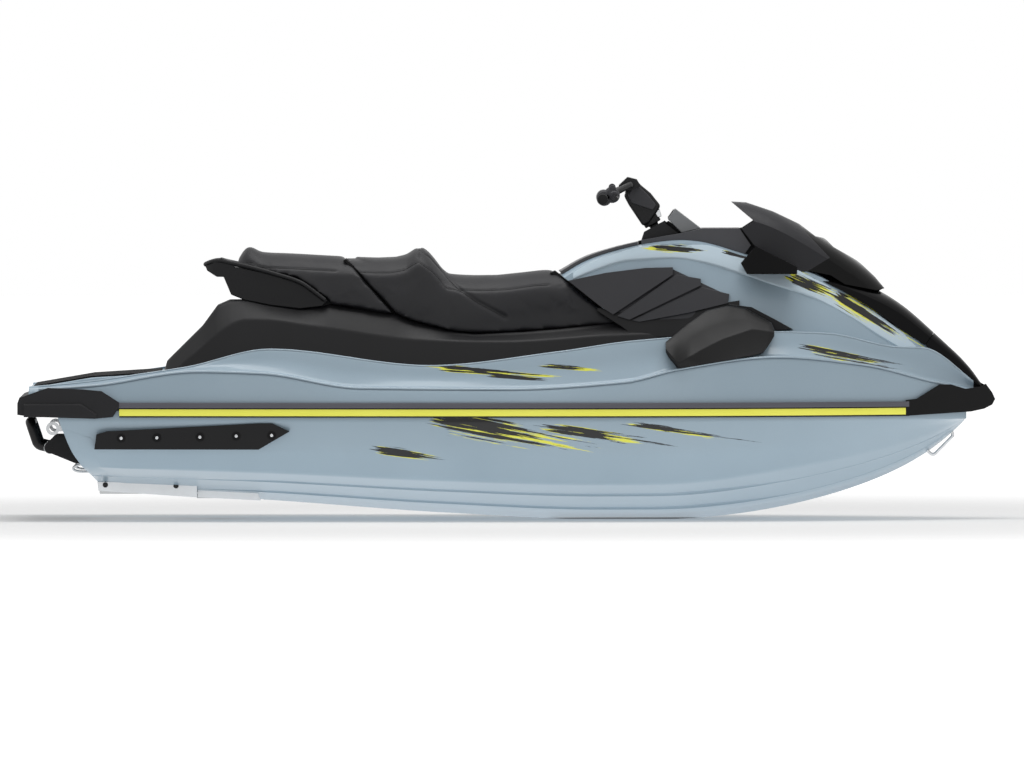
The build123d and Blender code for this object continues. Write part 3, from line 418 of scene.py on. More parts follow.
def along(knots, s):
    for (xa, ya), (xb, yb) in zip(knots, knots[1:]):
        if s <= xb:
            return ya + (yb - ya) * max(0.0, s - xa) / (xb - xa)
    return knots[-1][1]


rows = []
for s in sorted({*spread(-0.70, 0.33, 70), *[k[0] for k in straight_top]}):
    top = along(straight_top, s) - 0.5
    crease = min(pedestal_crease(s), top - 14)
    lean = 0.29
    rows.append(both_sides(s * half_length, rounded([
        (276, 200, 0), (273 - lean * (crease - 205) + 7, crease, 9), (271 - lean * (top - 205) - 22, top - 9, 7),
        (271 - lean * (top - 205) - 32, top, 6), (120, top, 0), (0, top, 0)])))
pedestal_skin = skin("pedestal_skin", rows, caps=(True, True))


def moulded(name, dark, light, rough, grain_mm, depth=0.12, **inputs):
    """Moulded plastic or rubber: two tones that change over some 20 cm, and the grain of its mould, which is
    drawn coarser than a real one so that it shows."""
    made, tree, shader = material(name, **inputs)
    place = local_place(tree)
    grain = add(tree, "ShaderNodeTexNoise", {"Vector": place, "Scale": 1000 / grain_mm, "Detail": 2.0})
    cloud = add(tree, "ShaderNodeTexNoise", {"Vector": place, "Scale": 5.0, "Detail": 4.0})
    cloudy(tree, shader, cloud, dark, light, rough - 0.05, rough + 0.07)
    pressed(tree, shader, grain.outputs["Fac"], depth, 0.0004)
    return made


# A grained mould leaves the ABS dull, so it shows a soft sheen and no sharp reflection.
black_abs = moulded("black_abs_moulded", "#111112", "#19191B", 0.42, 1.6, Specular_IOR_Level=0.22)
finish_piece(pedestal_skin, black_abs, sharp=45)
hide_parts("seat_pedestal")

# ---------------------------------------------------------------- seats
# Two foam cushions under stretched marine vinyl, sewn from a top panel and two side panels.
# The cloth is simulated: a little pressure fills each cover, then the seams are drawn in.
cover_grid = 0.0072      # metres


def filled_cover(name, node, swell):
    """Cushion from a CAD block: remeshed, blown up as cloth, with no point moved more than swell (mm)."""
    mesh = nodes[node].data.copy()
    obj = placed(name, mesh)
    weld = obj.modifiers.new("weld", "WELD")
    weld.merge_threshold = 0.00005
    grid = obj.modifiers.new("grid", "REMESH")
    grid.mode = "VOXEL"
    grid.voxel_size = cover_grid
    soften = obj.modifiers.new("soften", "SMOOTH")
    soften.iterations = 8
    scene = bpy.context.scene
    shape = bpy.data.meshes.new_from_object(obj.evaluated_get(bpy.context.evaluated_depsgraph_get()))
    shape.materials.clear()
    for modifier in list(obj.modifiers):
        obj.modifiers.remove(modifier)
    obj.data = shape
    rest = [v.co.copy() for v in shape.vertices]
    cloth = obj.modifiers.new("cloth", "CLOTH")
    cloth.settings.use_pressure = True
    cloth.settings.uniform_pressure_force = 4
    cloth.settings.effector_weights.gravity = 0
    cloth.settings.quality = 4
    cloth.point_cache.frame_start, cloth.point_cache.frame_end = 1, 20
    for number in range(1, 21):
        scene.frame_set(number)
    blown = obj.evaluated_get(bpy.context.evaluated_depsgraph_get()).data
    moved = [v.co.copy() for v in blown.vertices]
    obj.modifiers.remove(cloth)
    scene.frame_set(1)
    for vertex, before, after in zip(shape.vertices, rest, moved):
        step = after - before
        vertex.co = before + step * min(1.0, swell / 1000 / max(step.length, 1e-9))
    shape.polygons.foreach_set("use_smooth", [True] * len(shape.polygons))
    return obj


def sew(obj, seams, depth, reach):
    """Draws the cover in along seams given as points in metres on its surface."""
    tree = KDTree(sum(len(seam) for seam in seams))
    for count, point in enumerate(p for seam in seams for p in seam):
        tree.insert(point, count)
    tree.balance()
    for vertex in obj.data.vertices:
        gap = tree.find(vertex.co)[2]
        if gap < 3 * reach / 1000:
            vertex.co -= vertex.normal * depth / 1000 * math.exp(-(gap * 1000 / reach) ** 2)


def over(tree, path):
    """Points on the cover: each path entry is (x, y, z, direction) in millimetres, looking at the cover."""
    found = []
    for (ax, ay, az, look), (bx, by, bz, _) in zip(path, path[1:]):
        for t in spread(0, 1, 40)[:-1]:
            start = Vector((ax + (bx - ax) * t, ay + (by - ay) * t, az + (bz - az) * t)) / 1000
            hit = tree.ray_cast(start, Vector(look))[0]
            if hit:
                found.append(hit)
    return found


def thread(name, seams, width, finish, body):
    """Raised thread along each seam."""
    curve = bpy.data.curves.new(name, "CURVE")
    curve.dimensions = "3D"
    curve.bevel_depth = width / 2000
    curve.bevel_resolution = 1
    for seam in seams:
        line = curve.splines.new("POLY")
        line.points.add(len(seam) - 1)
        for point, place in zip(line.points, seam):
            point.co = (*place, 1)
    obj = placed(name, curve)
    return finish_piece(obj, finish, body)


# The vinyl is pressed with a leather grain of small cells, which leaves it a dull sheen.
vinyl, tree, shader = material("marine_vinyl_charcoal", Specular_IOR_Level=0.3)
place = add(tree, "ShaderNodeTexCoord")
grain = add(tree, "ShaderNodeTexVoronoi", {"Vector": place.outputs["Object"], "Scale": 420.0},
            feature="DISTANCE_TO_EDGE")
cloud = add(tree, "ShaderNodeTexNoise", {"Vector": place.outputs["Object"], "Scale": 9.0, "Detail": 3.0})
cloudy(tree, shader, cloud, "#1B1B1D", "#242427", 0.46, 0.58)
pressed(tree, shader, grain.outputs["Distance"], 0.12, 0.0004)
# The thread is matt, and a shade darker than the vinyl.
thread_black, tree, shader = material("bonded_nylon_thread", Base_Color=colour("#151516"), Roughness=0.7)

front_cushion = filled_cover("front_cushion", "front_seat", 3.5)
rear_cushion = filled_cover("rear_cushion", "rear_seat", 3.5)
crown = fair((-0.553, 645), (-0.53, 692), (-0.50, 670), (-0.46, 668), (-0.332, 657), (-0.245, 652), (-0.205, 664),
             (-0.179, 691), (-0.162, 674), (-0.119, 597), (-0.06, 592), (-0.017, 593), (0.072, 610), (0.10, 611))


def shoulder(first, last, fall, hand):
    return [(s * half_length, hand * 400, crown(s) - fall, (0, -hand, 0)) for s in spread(first, last, 14)]


for cushion, node, body, ends in ((front_cushion, "front_seat", "craft", (-0.30, 0.085)),
                                  (rear_cushion, "rear_seat", "rear_seat", (-0.535, -0.35))):
    skin_tree = BVHTree.FromObject(cushion, bpy.context.evaluated_depsgraph_get())
    seams = [over(skin_tree, shoulder(*ends, 46, hand)) for hand in (1, -1)]
    if node == "front_seat":
        arch = [(-7, 454), (-101, 505), (-161, 548), (-212, 599), (-264, 659), (-302, 689)]
        for hand in (1, -1):
            seams.append(over(skin_tree, [(x, hand * 400, z, (0, -hand, 0)) for x, z in arch]))
        seams.append(over(skin_tree, [(-302, y, 900, (0, 0, -1)) for y in (-150, 0, 150)]))
    sew(cushion, seams[:2], 2.2, 4.0)
    if node == "front_seat":
        sew(cushion, seams[2:], 6.0, 7.0)
    finish_piece(cushion, vinyl, body)
    cushion.modifiers.new("round", "SUBSURF").levels = 1
    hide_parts(node)
    skin_tree = BVHTree.FromObject(cushion, bpy.context.evaluated_depsgraph_get())
    inward = [[skin_tree.find_nearest(p)[0] for p in seam] for seam in seams]
    thread(node + "_thread", inward, 2.4, thread_black, body)

# ---------------------------------------------------------------- grab handle
# Moulded loop round the back of the rear seat, with a tubular rail along its upper edge for the hand.
# Strips of black sealing rubber close the joints between the cushions and in front of the handle.
def round_bar(name, points, radius, finish, body="craft"):
    """Round bar bent through points in millimetres."""
    curve = bpy.data.curves.new(name, "CURVE")
    curve.dimensions = "3D"
    curve.bevel_depth = radius / 1000
    curve.bevel_resolution = 5
    curve.use_fill_caps = True
    line = curve.splines.new("NURBS")
    line.points.add(len(points) - 1)
    for point, place in zip(line.points, points):
        point.co = (*(Vector(place) / 1000), 1)
    line.order_u = 3
    line.use_endpoint_u = True
    obj = placed(name, curve)
    return finish_piece(obj, finish, body)


def slab(name, outline, y0, y1, finish, body="craft", edge=2.0):
    """Block with a side outline in (station, height), from y0 to y1, its edges rounded by so many mm."""
    shell = bmesh.new()
    rings = [[shell.verts.new((s * half_length / 1000, y / 1000, z / 1000)) for s, z in outline] for y in (y0, y1)]
    shell.faces.new(rings[0])
    shell.faces.new(rings[1])
    for k in range(len(outline)):
        n = (k + 1) % len(outline)
        shell.faces.new((rings[0][k], rings[0][n], rings[1][n], rings[1][k]))
    bmesh.ops.recalc_face_normals(shell, faces=shell.faces)
    mesh = bpy.data.meshes.new(name)
    shell.to_mesh(mesh)
    shell.free()
    mesh.polygons.foreach_set("use_smooth", [True] * len(mesh.polygons))
    obj = placed(name, mesh)
    round_edges(obj, edge)
    return finish_piece(obj, finish, body)


hands = ((1, "left"), (-1, "right"))
dress(["grab_handle"], black_abs, edge=5)
rail_line = ((-1034, 62, 633), (-1020, 88, 640), (-985, 108, 648), (-940, 130, 637), (-905, 144, 630),
             (-870, 154, 622), (-800, 166, 603), (-712, 176, 577), (-670, 179, 548), (-624, 178, 512))
for hand, side_name in hands:
    round_bar(f"grab_rail_{side_name}", [(x, hand * y, z) for x, y, z in rail_line], 8, black_abs)
# Sealing rubber has no shine, so a closed joint reads as a dark line. The same rubber makes the discs of
# painted shade in the sponsons' screw recesses.
soft_black = moulded("black_sealing_rubber_and_recess_shade", "#0B0B0C", "#101011", 0.6, 0.9, Specular_IOR_Level=0.15)


def seal(name, outline, reach, body="craft", edge=0.5):
    """Strip of sealing rubber across the craft, reaching so many millimetres to each side."""
    slab(name, outline, -reach, reach, soft_black, body, edge)


seal("cushion_seal", ((-0.3345, 649), (-0.3290, 653), (-0.2250, 461), (-0.2310, 455)), 140)
seal("handle_seal", ((-0.3710, 517), (-0.3605, 513), (-0.3600, 499), (-0.377, 491), (-0.380, 497)), 150)

# ---------------------------------------------------------------- front cowl
# Upper moulding ahead of the seat in the deck's colour. A paler shoulder with a sharp lower edge runs
# down each side of it from the seat to the bow, its paler tone a painted highlight for the light on its upward face,
# and a rubber seal closes the joint against the seat.
cowl_gelcoat = sprayed_gelcoat("metallic_gelcoat_cowl_livery", [
    ((0.45, 0.71), (1.10, 0.60), 0.020, 2), ((0.80, 0.665), (1.30, 0.47), 0.026, 8),
    ((1.05, 0.58), (1.60, 0.26), 0.030, 17),
])
dress(["front_cowl"], cowl_gelcoat, sharp=45)
# The shoulder's gelcoat is painted paler than the cowl's: a painted highlight for the light its upward face catches.
shoulder_painted_highlight_gelcoat = sprayed_gelcoat("metallic_gelcoat_shoulder_painted_highlight", [
    ((0.42, 0.70), (0.86, 0.668), 0.016, 2), ((0.70, 0.69), (0.98, 0.62), 0.012, 9),
    ((0.90, 0.625), (1.30, 0.45), 0.022, 8), ((1.05, 0.575), (1.52, 0.28), 0.026, 17)], tones=("#B7C9D4", "#D2E0EA"))
cowl_side_y = fair((0.09, 120), (0.313, 165), (0.483, 185), (0.60, 178), (0.70, 140), (0.80, 92), (0.885, 52),
                   (0.93, 34))
cowl_foot_y = fair((0.09, 170), (0.313, 235), (0.45, 290), (0.58, 300), (0.66, 272), (0.764, 198), (0.85, 126),
                   (0.93, 58))
cowl_foot_z = fair((0.09, 400), (0.35, 330), (0.60, 320), (0.85, 240), (0.93, 170))
cowl_side_z = fair((0.09, 560), (0.19, 655), (0.313, 703), (0.395, 703), (0.483, 665), (0.617, 608), (0.75, 480),
                   (0.855, 358), (0.93, 265))
shoulder_edge = fair((0.12, 572), (0.17, 611), (0.25, 651), (0.34, 659), (0.40, 646), (0.48, 606), (0.54, 571),
                     (0.62, 529), (0.70, 460), (0.763, 392), (0.83, 326), (0.90, 258))
hood_edge = ((0.59, 625), (0.617, 600), (0.69, 540), (0.75, 479), (0.80, 418), (0.855, 357), (0.91, 291))


def cowl_face(s, z):
    """Half width of the cowl's side at a height."""
    share = (z - cowl_foot_z(s)) / (cowl_side_z(s) - cowl_foot_z(s))
    return cowl_foot_y(s) + (cowl_side_y(s) - cowl_foot_y(s)) * share


for hand, side_name in hands:
    rows = []
    for s in spread(0.135, 0.905, 80):
        low_z = shoulder_edge(s)
        top_z = cowl_side_z(s) - 1 if s < 0.59 else min(cowl_side_z(s) - 1, along(hood_edge, s) - 5)
        top_z = max(top_z, low_z + 6)
        mid_z = (low_z + top_z) / 2
        rows.append([(s * half_length, hand * (cowl_face(s, z) + stand), z) for z, stand in (
            (low_z - 6, -1.0), (low_z - 4, 1.0), (low_z - 0.5, 4.0), (low_z + 3, 4.6), (mid_z, 3.6), (top_z, 1.3),
            (top_z + 0.6, -8.0))])
    shoulder = skin(f"cowl_shoulder_{side_name}", rows)
    finish_piece(shoulder, shoulder_painted_highlight_gelcoat, sharp=40)
seal("seat_seal", ((0.088, 606), (0.0985, 611), (0.2335, 437), (0.224, 437)), 112)

# ---------------------------------------------------------------- side vents and footwell pods
# Satin black mouldings: three overlapping blades over a backing panel, a lower panel that runs down to
# the pedestal, and a pod that closes the front end of each footwell.
# The satin mould gives the blades a broad soft shine. The pods are duller, and drawn darker than the other black
# mouldings as painted shade against the light that falls on their upward faces.
vent_abs = moulded("satin_abs_charcoal", "#2A2A2D", "#353539", 0.38, 1.2, Specular_IOR_Level=0.3)
pod_abs_painted_shade = moulded("satin_abs_pod_painted_shade", "#060607", "#0A0A0B", 0.44, 1.2, Specular_IOR_Level=0.25)
dress(["side_vent_left", "side_vent_right"], vent_abs, edge=3)
pod_low = ((0.323, 340), (0.327, 325), (0.349, 280), (0.457, 310), (0.5215, 333), (0.539, 373), (0.546, 395))
pod_high = ((0.323, 372), (0.369, 435), (0.406, 478), (0.4505, 495), (0.488, 486), (0.542, 435), (0.546, 412))
panel_low = ((0.185, 472), (0.235, 419), (0.262, 385), (0.34, 385), (0.40, 425), (0.475, 470))
panel_high = ((0.185, 486), (0.24, 468), (0.27, 462), (0.36, 482), (0.475, 512))
pod_crease = ((0.323, 352), (0.349, 300), (0.40, 350), (0.44, 382), (0.50, 415), (0.546, 405))


def pod_face(s, z):
    low_y, high_y = 0.965 * flange_half(s) + 9, gunwale_y(s) - 40
    return low_y - max(0.0, z - 322) * (low_y - 8 - high_y) / 180


for hand, side_name in hands:
    rows = []
    for s in spread(0.3235, 0.5455, 40):
        low_z, high_z = along(pod_low, s), along(pod_high, s)
        fold_z = min(max(along(pod_crease, s), low_z + 8), high_z - 12)
        upper_z = (fold_z + high_z) / 2
        rows.append([(s * half_length, hand * (pod_face(s, z) + stand), z) for z, stand in (
            (low_z, -50), (low_z, -6), (low_z + 4, -1), (fold_z - 3, 7), (fold_z, 8.5), (fold_z + 3, 7.5),
            (upper_z, 3), (high_z - 4, -2), (high_z, -8), (high_z, -50))])
    pod = skin(f"footwell_pod_skin_{side_name}", rows, caps=(True, True))
    finish_piece(pod, pod_abs_painted_shade, sharp=55)
    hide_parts(f"footwell_pod_{side_name}")
    near, far = sorted((hand * 222, hand * 282))
    slab(f"pod_shell_{side_name}", ((0.452, 500), (0.50, 489), (0.546, 449), (0.585, 413), (0.546, 408), (0.50, 430)),
         near, far, black_abs, edge=3)
    rows = []
    for s in spread(0.185, 0.475, 24):
        low_z, high_z = along(panel_low, s), along(panel_high, s)
        rows.append([(s * half_length, hand * (cowl_face(s, z) + stand), z) for z, stand in (
            (low_z, -20), (low_z, 2), (low_z + 3, 5), ((low_z + high_z) / 2, 6), (high_z, 5), (high_z, -20))])
    panel = skin(f"lower_panel_{side_name}", rows, caps=(True, True))
    finish_piece(panel, black_abs, sharp=40)

# ---------------------------------------------------------------- dash, gauge and storage lid
# Satin black dash over the cowl, a grey gauge box with a tinted cover, and the lid of the glovebox, which
# is hinged at its forward edge. Rubber seals close the joints round the gauge box and ahead of the lid.
# The dash has a satin shine, and the acrylic cover over the gauge is glossy.
dash_abs = moulded("satin_abs_dash", "#38383B", "#46464A", 0.36, 1.4, Specular_IOR_Level=0.35)
dress(["console", "glovebox_lid"], dash_abs, edge=5)
dress(["steering_cover"], black_abs, edge=5)
gauge_abs = moulded("grey_abs_gauge_box", "#747678", "#808284", 0.42, 1.0, Specular_IOR_Level=0.35)
dress(["gauge_pod"], gauge_abs, edge=3)
tinted = moulded("tinted_acrylic_cover", "#050507", "#08080B", 0.12, 3.0, 0.02, Coat_Weight=0.5, Coat_Roughness=0.04)
slab("gauge_screen", ((0.3303, 792.5), (0.3286, 795.0), (0.3404, 822.5), (0.342, 819.5)), -66, 66, tinted,
     edge=0.8)
seal("gauge_seal", ((0.3235, 775), (0.3310, 782), (0.3610, 745), (0.3530, 737)), 52)
seal("lid_seal", ((0.2686, 690), (0.2686, 713), (0.2765, 716), (0.2765, 690)), 50)
seal("dash_seal", ((0.4735, 756), (0.4835, 759), (0.5090, 703), (0.5000, 668), (0.4840, 668), (0.4970, 700)), 146)

# ---------------------------------------------------------------- handlebar
# Leaning column in a moulded shroud, a coated steel bar with ribbed rubber grips, and on each side a switch
# housing with two round controls and a finger lever. A polished bracket shows at the foot of the shroud.
def turned(name, centres, axis, profile, finish, body="craft", around=36):
    """Round pieces turned from a profile of (distance along the axis, radius) in millimetres."""
    axis = Vector(axis).normalized()
    out = axis.orthogonal().normalized()
    across = axis.cross(out)
    shell = bmesh.new()
    for centre in centres:
        rings = []
        for distance, radius in profile:
            middle = Vector(centre) + axis * distance
            rings.append([shell.verts.new((middle + radius * (
                out * math.cos(2 * math.pi * k / around) + across * math.sin(2 * math.pi * k / around))) / 1000)
                for k in range(around)])
        for a, b in zip(rings, rings[1:]):
            for k in range(around):
                n = (k + 1) % around
                shell.faces.new((a[k], a[n], b[n], b[k]))
        shell.faces.new(list(reversed(rings[0])))
        shell.faces.new(rings[-1])
    bmesh.ops.recalc_face_normals(shell, faces=shell.faces)
    mesh = bpy.data.meshes.new(name)
    shell.to_mesh(mesh)
    shell.free()
    mesh.polygons.foreach_set("use_smooth", [True] * len(mesh.polygons))
    obj = placed(name, mesh)
    return finish_piece(obj, finish, body, sharp=35)


# The steel's black coat shines softly, and the grips' rubber is dull.
coated_steel = moulded("black_coated_steel_tube", "#0E0E0F", "#141415", 0.35, 1.5, Specular_IOR_Level=0.3)
grip_rubber = moulded("black_grip_rubber", "#121213", "#181819", 0.62, 0.8, Specular_IOR_Level=0.2)
dress(["handlebar"], coated_steel)
dress(["steering_column", "handlebar_pad"], black_abs, edge=4)
slab("column_shroud", ((0.2785, 763), (0.2494, 836), (0.2392, 868), (0.2515, 908), (0.2699, 911), (0.2944, 877),
                       (0.3149, 834), (0.306, 810), (0.292, 776)),
     -38, 38, black_abs, "handlebar", edge=9)
slab("column_plate", ((0.2560, 842), (0.2470, 868), (0.2560, 898), (0.2699, 901), (0.2890, 872), (0.3060, 836),
                      (0.2990, 818)), -43, 43, vent_abs, "handlebar", edge=4)
# The cap on the shroud's top is drawn in the vents' lighter charcoal as a painted highlight for the light on the
# column's top.
slab("column_cap_painted_highlight", ((0.2445, 903), (0.2510, 914), (0.2670, 915), (0.2735, 905), (0.2630, 896)), -34, 34, vent_abs,
     "handlebar", edge=4)
# Polished steel mirrors its surroundings, a little duller where it is worn.
polished_steel, tree, shader = material("polished_stainless_steel", Metallic=1.0)
place = local_place(tree)
wear = add(tree, "ShaderNodeTexNoise", {"Vector": place, "Scale": 60.0, "Detail": 4.0})
cloudy(tree, shader, wear, "#B4B6B8", "#D6D8DA", 0.16, 0.3)
slab("shaft_bracket", ((0.3010, 812), (0.3125, 824), (0.3165, 797), (0.3060, 793)), -14, 14, polished_steel,
     "handlebar", edge=2)
bar_x, bar_z = 327.35, 859.5
for hand, side_name in hands:
    ribs = [(0, 12.5), (1.5, 16.6), (6, 18.0), (9, 18.0), (10, 16.2)]
    for k in range(17):
        ribs += [(12 + 6 * k, 15.8), (13 + 6 * k, 17.0), (16 + 6 * k, 17.0), (17 + 6 * k, 15.8)]
    ribs += [(116, 16.2), (117, 18.0), (127, 18.0), (128.5, 16.5)]
    grip = turned(f"ribbed_grip_{side_name}", [(bar_x, hand * 398.5, bar_z)], (0, -hand, 0), ribs,
                  grip_rubber, "handlebar")
    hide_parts(f"grip_{side_name}")
    outer = hand * 266
    housing = turned(f"switch_housing_{side_name}",
                     [(bar_x + 5, hand * 239, bar_z + 2), (bar_x + 33, hand * 239, bar_z + 12)], (0, hand, 0),
                     [(0, 19), (3, 24), (22, 26), (27, 23), (29, 18), (29, 1)], vent_abs, "handlebar")
    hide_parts(f"control_pod_{side_name}")
    round_bar(f"finger_lever_{side_name}",
              [(bar_x + 46, hand * 250, bar_z + 8), (bar_x + 54, hand * 290, bar_z + 6),
               (bar_x + 46, hand * 360, bar_z + 2)], 5.5, coated_steel, "handlebar")
    turned(f"switch_knob_{side_name}", [(bar_x + 40, outer + hand * 2, bar_z + 10)], (0, hand, 0),
           [(-4, 17), (3, 17), (5, 15), (6, 9), (4, 8), (4, 1)], vent_abs, "handlebar")
    turned(f"switch_button_{side_name}", [(bar_x + 34, outer - hand * 8, bar_z + 36)], (0, hand, 0),
           [(-4, 12), (6, 12), (9, 10), (10, 4)], vent_abs, "handlebar")

# ---------------------------------------------------------------- hood, windscreen and mirrors
# They lift together. The windscreen is a satin grey shroud whose front is left gloss black; the hood
# strip, the nose strip below it and the mirror shells come glossy from a polished mould.
gloss_abs = moulded("gloss_abs_black", "#040405", "#070708", 0.22, 2.5, 0.03, Specular_IOR_Level=0.1)
dress(["mirror_left", "mirror_right"], gloss_abs, edge=6)
dress(["hood_panel", "nose_panel"], gloss_abs, edge=3)
screen_abs = moulded("satin_grey_abs_gloss_front", "#262628", "#313134", 0.38, 1.3, Specular_IOR_Level=0.15)
tree = screen_abs.node_tree
shader = tree.nodes["Principled BSDF"]
place = local_place(tree)
tip = Vector((1.106, 0, 0.6576))
near_tip = add(tree, "ShaderNodeVectorMath", {0: place, 1: tip}, operation="SUBTRACT").outputs[0]
edges = [aligned(tree, near_tip, Vector(n).normalized()) for n in ((-0.651, 0, -0.616), (-0.377, 0, 0.616))]
gloss = between(tree, reckon(tree, "MINIMUM", *edges), -0.001, 0.001, 1.0, 0.0)
for socket, kind, slots, value in (("Base Color", "RGBA", (6, 7, 2), colour("#020202")),
                                   ("Roughness", "FLOAT", (2, 3, 0), 0.2)):
    satin = shader.inputs[socket].links[0].from_socket
    chosen = add(tree, "ShaderNodeMix", {0: gloss}, data_type=kind)
    tree.links.new(satin, chosen.inputs[slots[0]])
    chosen.inputs[slots[1]].default_value = value
    tree.links.new(chosen.outputs[slots[2]], shader.inputs[socket])
dress(["windscreen"], screen_abs, edge=3)
seal("hood_seal", ((0.62, 611), (0.664, 597), (0.693, 567), (0.757, 546), (0.770, 551), (0.757, 538), (0.69, 557),
                   (0.66, 589), (0.62, 603)), 66, "hood")
seal("hinge_seal", ((0.8575, 364), (0.8602, 362), (0.8716, 392), (0.8690, 394)), 55, edge=0.3)
seal("nose_seal", ((0.943, 236), (0.957, 240), (0.978, 220), (0.974, 208), (0.955, 212)), 16)

# ---------------------------------------------------------------- bumpers and sponsons
# Black rubber bumpers wrap both ends of the flange, and a raised pad stiffens each side of the stern one.
# The sponsons are stiff plastic fins, each held to the hull side by five stainless screws in round recesses.
# A dull black disc under each screw head is painted shade that stands for its recess.
# The rubber has a low sheen, and the bow's is the darker one.
bumper_rubber = moulded("black_bumper_rubber", "#1E1E20", "#272729", 0.55, 1.6, Specular_IOR_Level=0.2)
bow_rubber = moulded("black_bow_rubber", "#090909", "#0E0E0F", 0.5, 1.6, Specular_IOR_Level=0.15)
dress(["stern_bumper"], bumper_rubber, edge=6)
dress(["bow_bumper"], bow_rubber, edge=6)
dress(["sponson_left", "sponson_right"], black_abs, edge=6)
for hand, side_name in hands:
    rows = []
    for s in spread(-0.985, -0.836, 24):
        top_z = 163 - max(0.0, s + 0.868) * 1100
        rows.append([(s * half_length, hand * (flange_half(s) + stand), z) for z, stand in (
            (117, 8), (117, 17), (119, 19), (top_z - 5, 21), (top_z, 16), (top_z, 8))])
    finish_piece(skin(f"bumper_pad_{side_name}", rows, caps=(True, True)), bumper_rubber, sharp=30)
screws = ((-1317, 45.6), (-1195, 47.3), (-1048, 49.7), (-924, 53.4), (-803, 55.8))
for hand, side_name in hands:
    heads = [(x, hand * (flange_half(x / half_length) + 3), z) for x, z in screws]
    # Discs of dull black rubber under the screw heads: painted shade for the round recesses.
    turned(f"sponson_recess_shade_{side_name}", heads, (0, hand, 0), [(-3, 15), (0.8, 15), (1.4, 14), (1.4, 1)],
           soft_black)
    turned(f"sponson_screws_{side_name}", heads, (0, hand, 0),
           [(-2, 5.4), (3.0, 5.4), (4.2, 4.4), (4.8, 2.6), (4.0, 2.2), (4.0, 1)], polished_steel)

# ---------------------------------------------------------------- rub rails
# Extruded grey rubber over the bond flange, with a yellow insert pressed into its middle groove.
# It runs from the stern bumper to the bow bumper and takes the knocks of a dock.
# The rails' rubber is dull, and the insert is brighter and smoother.
rail_grey = moulded("grey_rail_rubber", "#4A4A52", "#54545C", 0.5, 0.9)
insert_yellow = moulded("yellow_rail_insert", "#F2F050", "#FAF86A", 0.38, 0.9, 0.05)
rail_black = moulded("black_rail_rubber", "#121213", "#18181A", 0.55, 0.9, Specular_IOR_Level=0.25)
bands = (("rail_upper", rail_grey, 148.5, 166.5, 1.5), ("rail_groove", rail_black, 144, 149, -3.0),
         ("rail_insert", insert_yellow, 121.5, 144.5, 1.2), ("rail_lower", rail_black, 116.5, 122, 0.5))
for hand, side_name in hands:
    for name, finish, low_z, high_z, stand in bands:
        rows = []
        for s in spread(-0.79, 0.815 if name == "rail_insert" else 0.822, 60):
            reach = flange_half(s) + (14 if name == "rail_upper" else 12.2)
            rows.append([(s * half_length, hand * (reach + bulge), z) for z, bulge in (
                (low_z, -8), (low_z, stand - 0.8), (low_z + 1.5, stand), ((low_z + high_z) / 2, stand + 0.9),
                (high_z - 1.5, stand), (high_z, stand - 0.8), (high_z, -8))])
        strip = skin(f"{name}_{side_name}", rows)
        finish_piece(strip, finish, sharp=40)
dress(["rub_rail_left", "rub_rail_right"], rail_black)

# ---------------------------------------------------------------- mats
# Closed-cell foam sheets, glued down in the footwells and on the boarding platform. A pressed pattern of
# small pads keeps the feet from slipping.
# Foam has almost no shine, and only the edges of its pads catch the light.
mat_foam = moulded("pressed_eva_foam", "#0F0F10", "#161617", 0.8, 1.5, Specular_IOR_Level=0.1)
tree = mat_foam.node_tree
shader = tree.nodes["Principled BSDF"]
place = local_place(tree)
pads = add(tree, "ShaderNodeTexVoronoi", {"Vector": place, "Scale": 45.0, "Randomness": 0.35},
           feature="DISTANCE_TO_EDGE")
raised = between(tree, pads.outputs["Distance"], 0.05, 0.2, 0.0, 1.0)
fine = shader.inputs["Normal"].links[0].from_socket
pressed(tree, shader, raised, 0.9, 0.002, Normal=fine)
dress(["foot_mat_left", "foot_mat_right", "rear_mat"], mat_foam, edge=2)

# ---------------------------------------------------------------- jet, ride plate and engine
# Sand-cast aluminium pump, nozzle and bucket with a machined steel screw. The ride plate is bolted up
# into the hull with black bolts, and its edges are turned up against the hull's bottom.
# The sand leaves the metal rough and grey, with a blurred shine.
cast_alloy, tree, shader = material("sand_cast_aluminium", Metallic=1.0)
place = local_place(tree)
sand = add(tree, "ShaderNodeTexNoise", {"Vector": place, "Scale": 420.0, "Detail": 3.0})
stain = add(tree, "ShaderNodeTexNoise", {"Vector": place, "Scale": 14.0, "Detail": 6.0, "Roughness": 0.7})
cloudy(tree, shader, stain, "#8C8E90", "#D0D2D2", 0.38, 0.58)
pressed(tree, shader, sand.outputs["Fac"], 0.2, 0.0005)
dress(["jet_pump", "steering_nozzle", "reverse_bucket"], cast_alloy)
dress(["ride_plate", "intake_grate"], cast_alloy, edge=1.5)
dress(["impeller", "stern_eye_left", "stern_eye_right", "bow_eye"], polished_steel)
engine_paint = moulded("heat_resistant_engine_paint", "#26282A", "#323436", 0.5, 1.5)
dress(["engine"], engine_paint, edge=8)
# Scuffs break up the plate's shine.
plate_metal = moulded("scuffed_aluminium_plate", "#C2C4C6", "#F6F7F8", 0.36, 6.0, 0.3, Metallic=0.6)
for hand, side_name in hands:
    near, far = sorted((hand * 172, hand * 178))
    slab(f"plate_flange_{side_name}", ((-0.836, -141), (-0.838, -110), (-0.634, -117), (-0.634, -164)),
         near, far, plate_metal, edge=1)
    near, far = sorted((hand * 90, hand * 96))
    slab(f"shoe_flange_{side_name}", ((-0.633, -165), (-0.633, -138), (-0.56, -138), (-0.510, -148), (-0.504, -176)),
         near, far, plate_metal, edge=1)
    turned(f"plate_bolts_{side_name}", [(-1376, hand * 178, -121), (-1134, hand * 178, -124)], (0, hand, 0),
           [(-2, 9), (4, 9), (6, 7.5), (6, 1)], coated_steel)

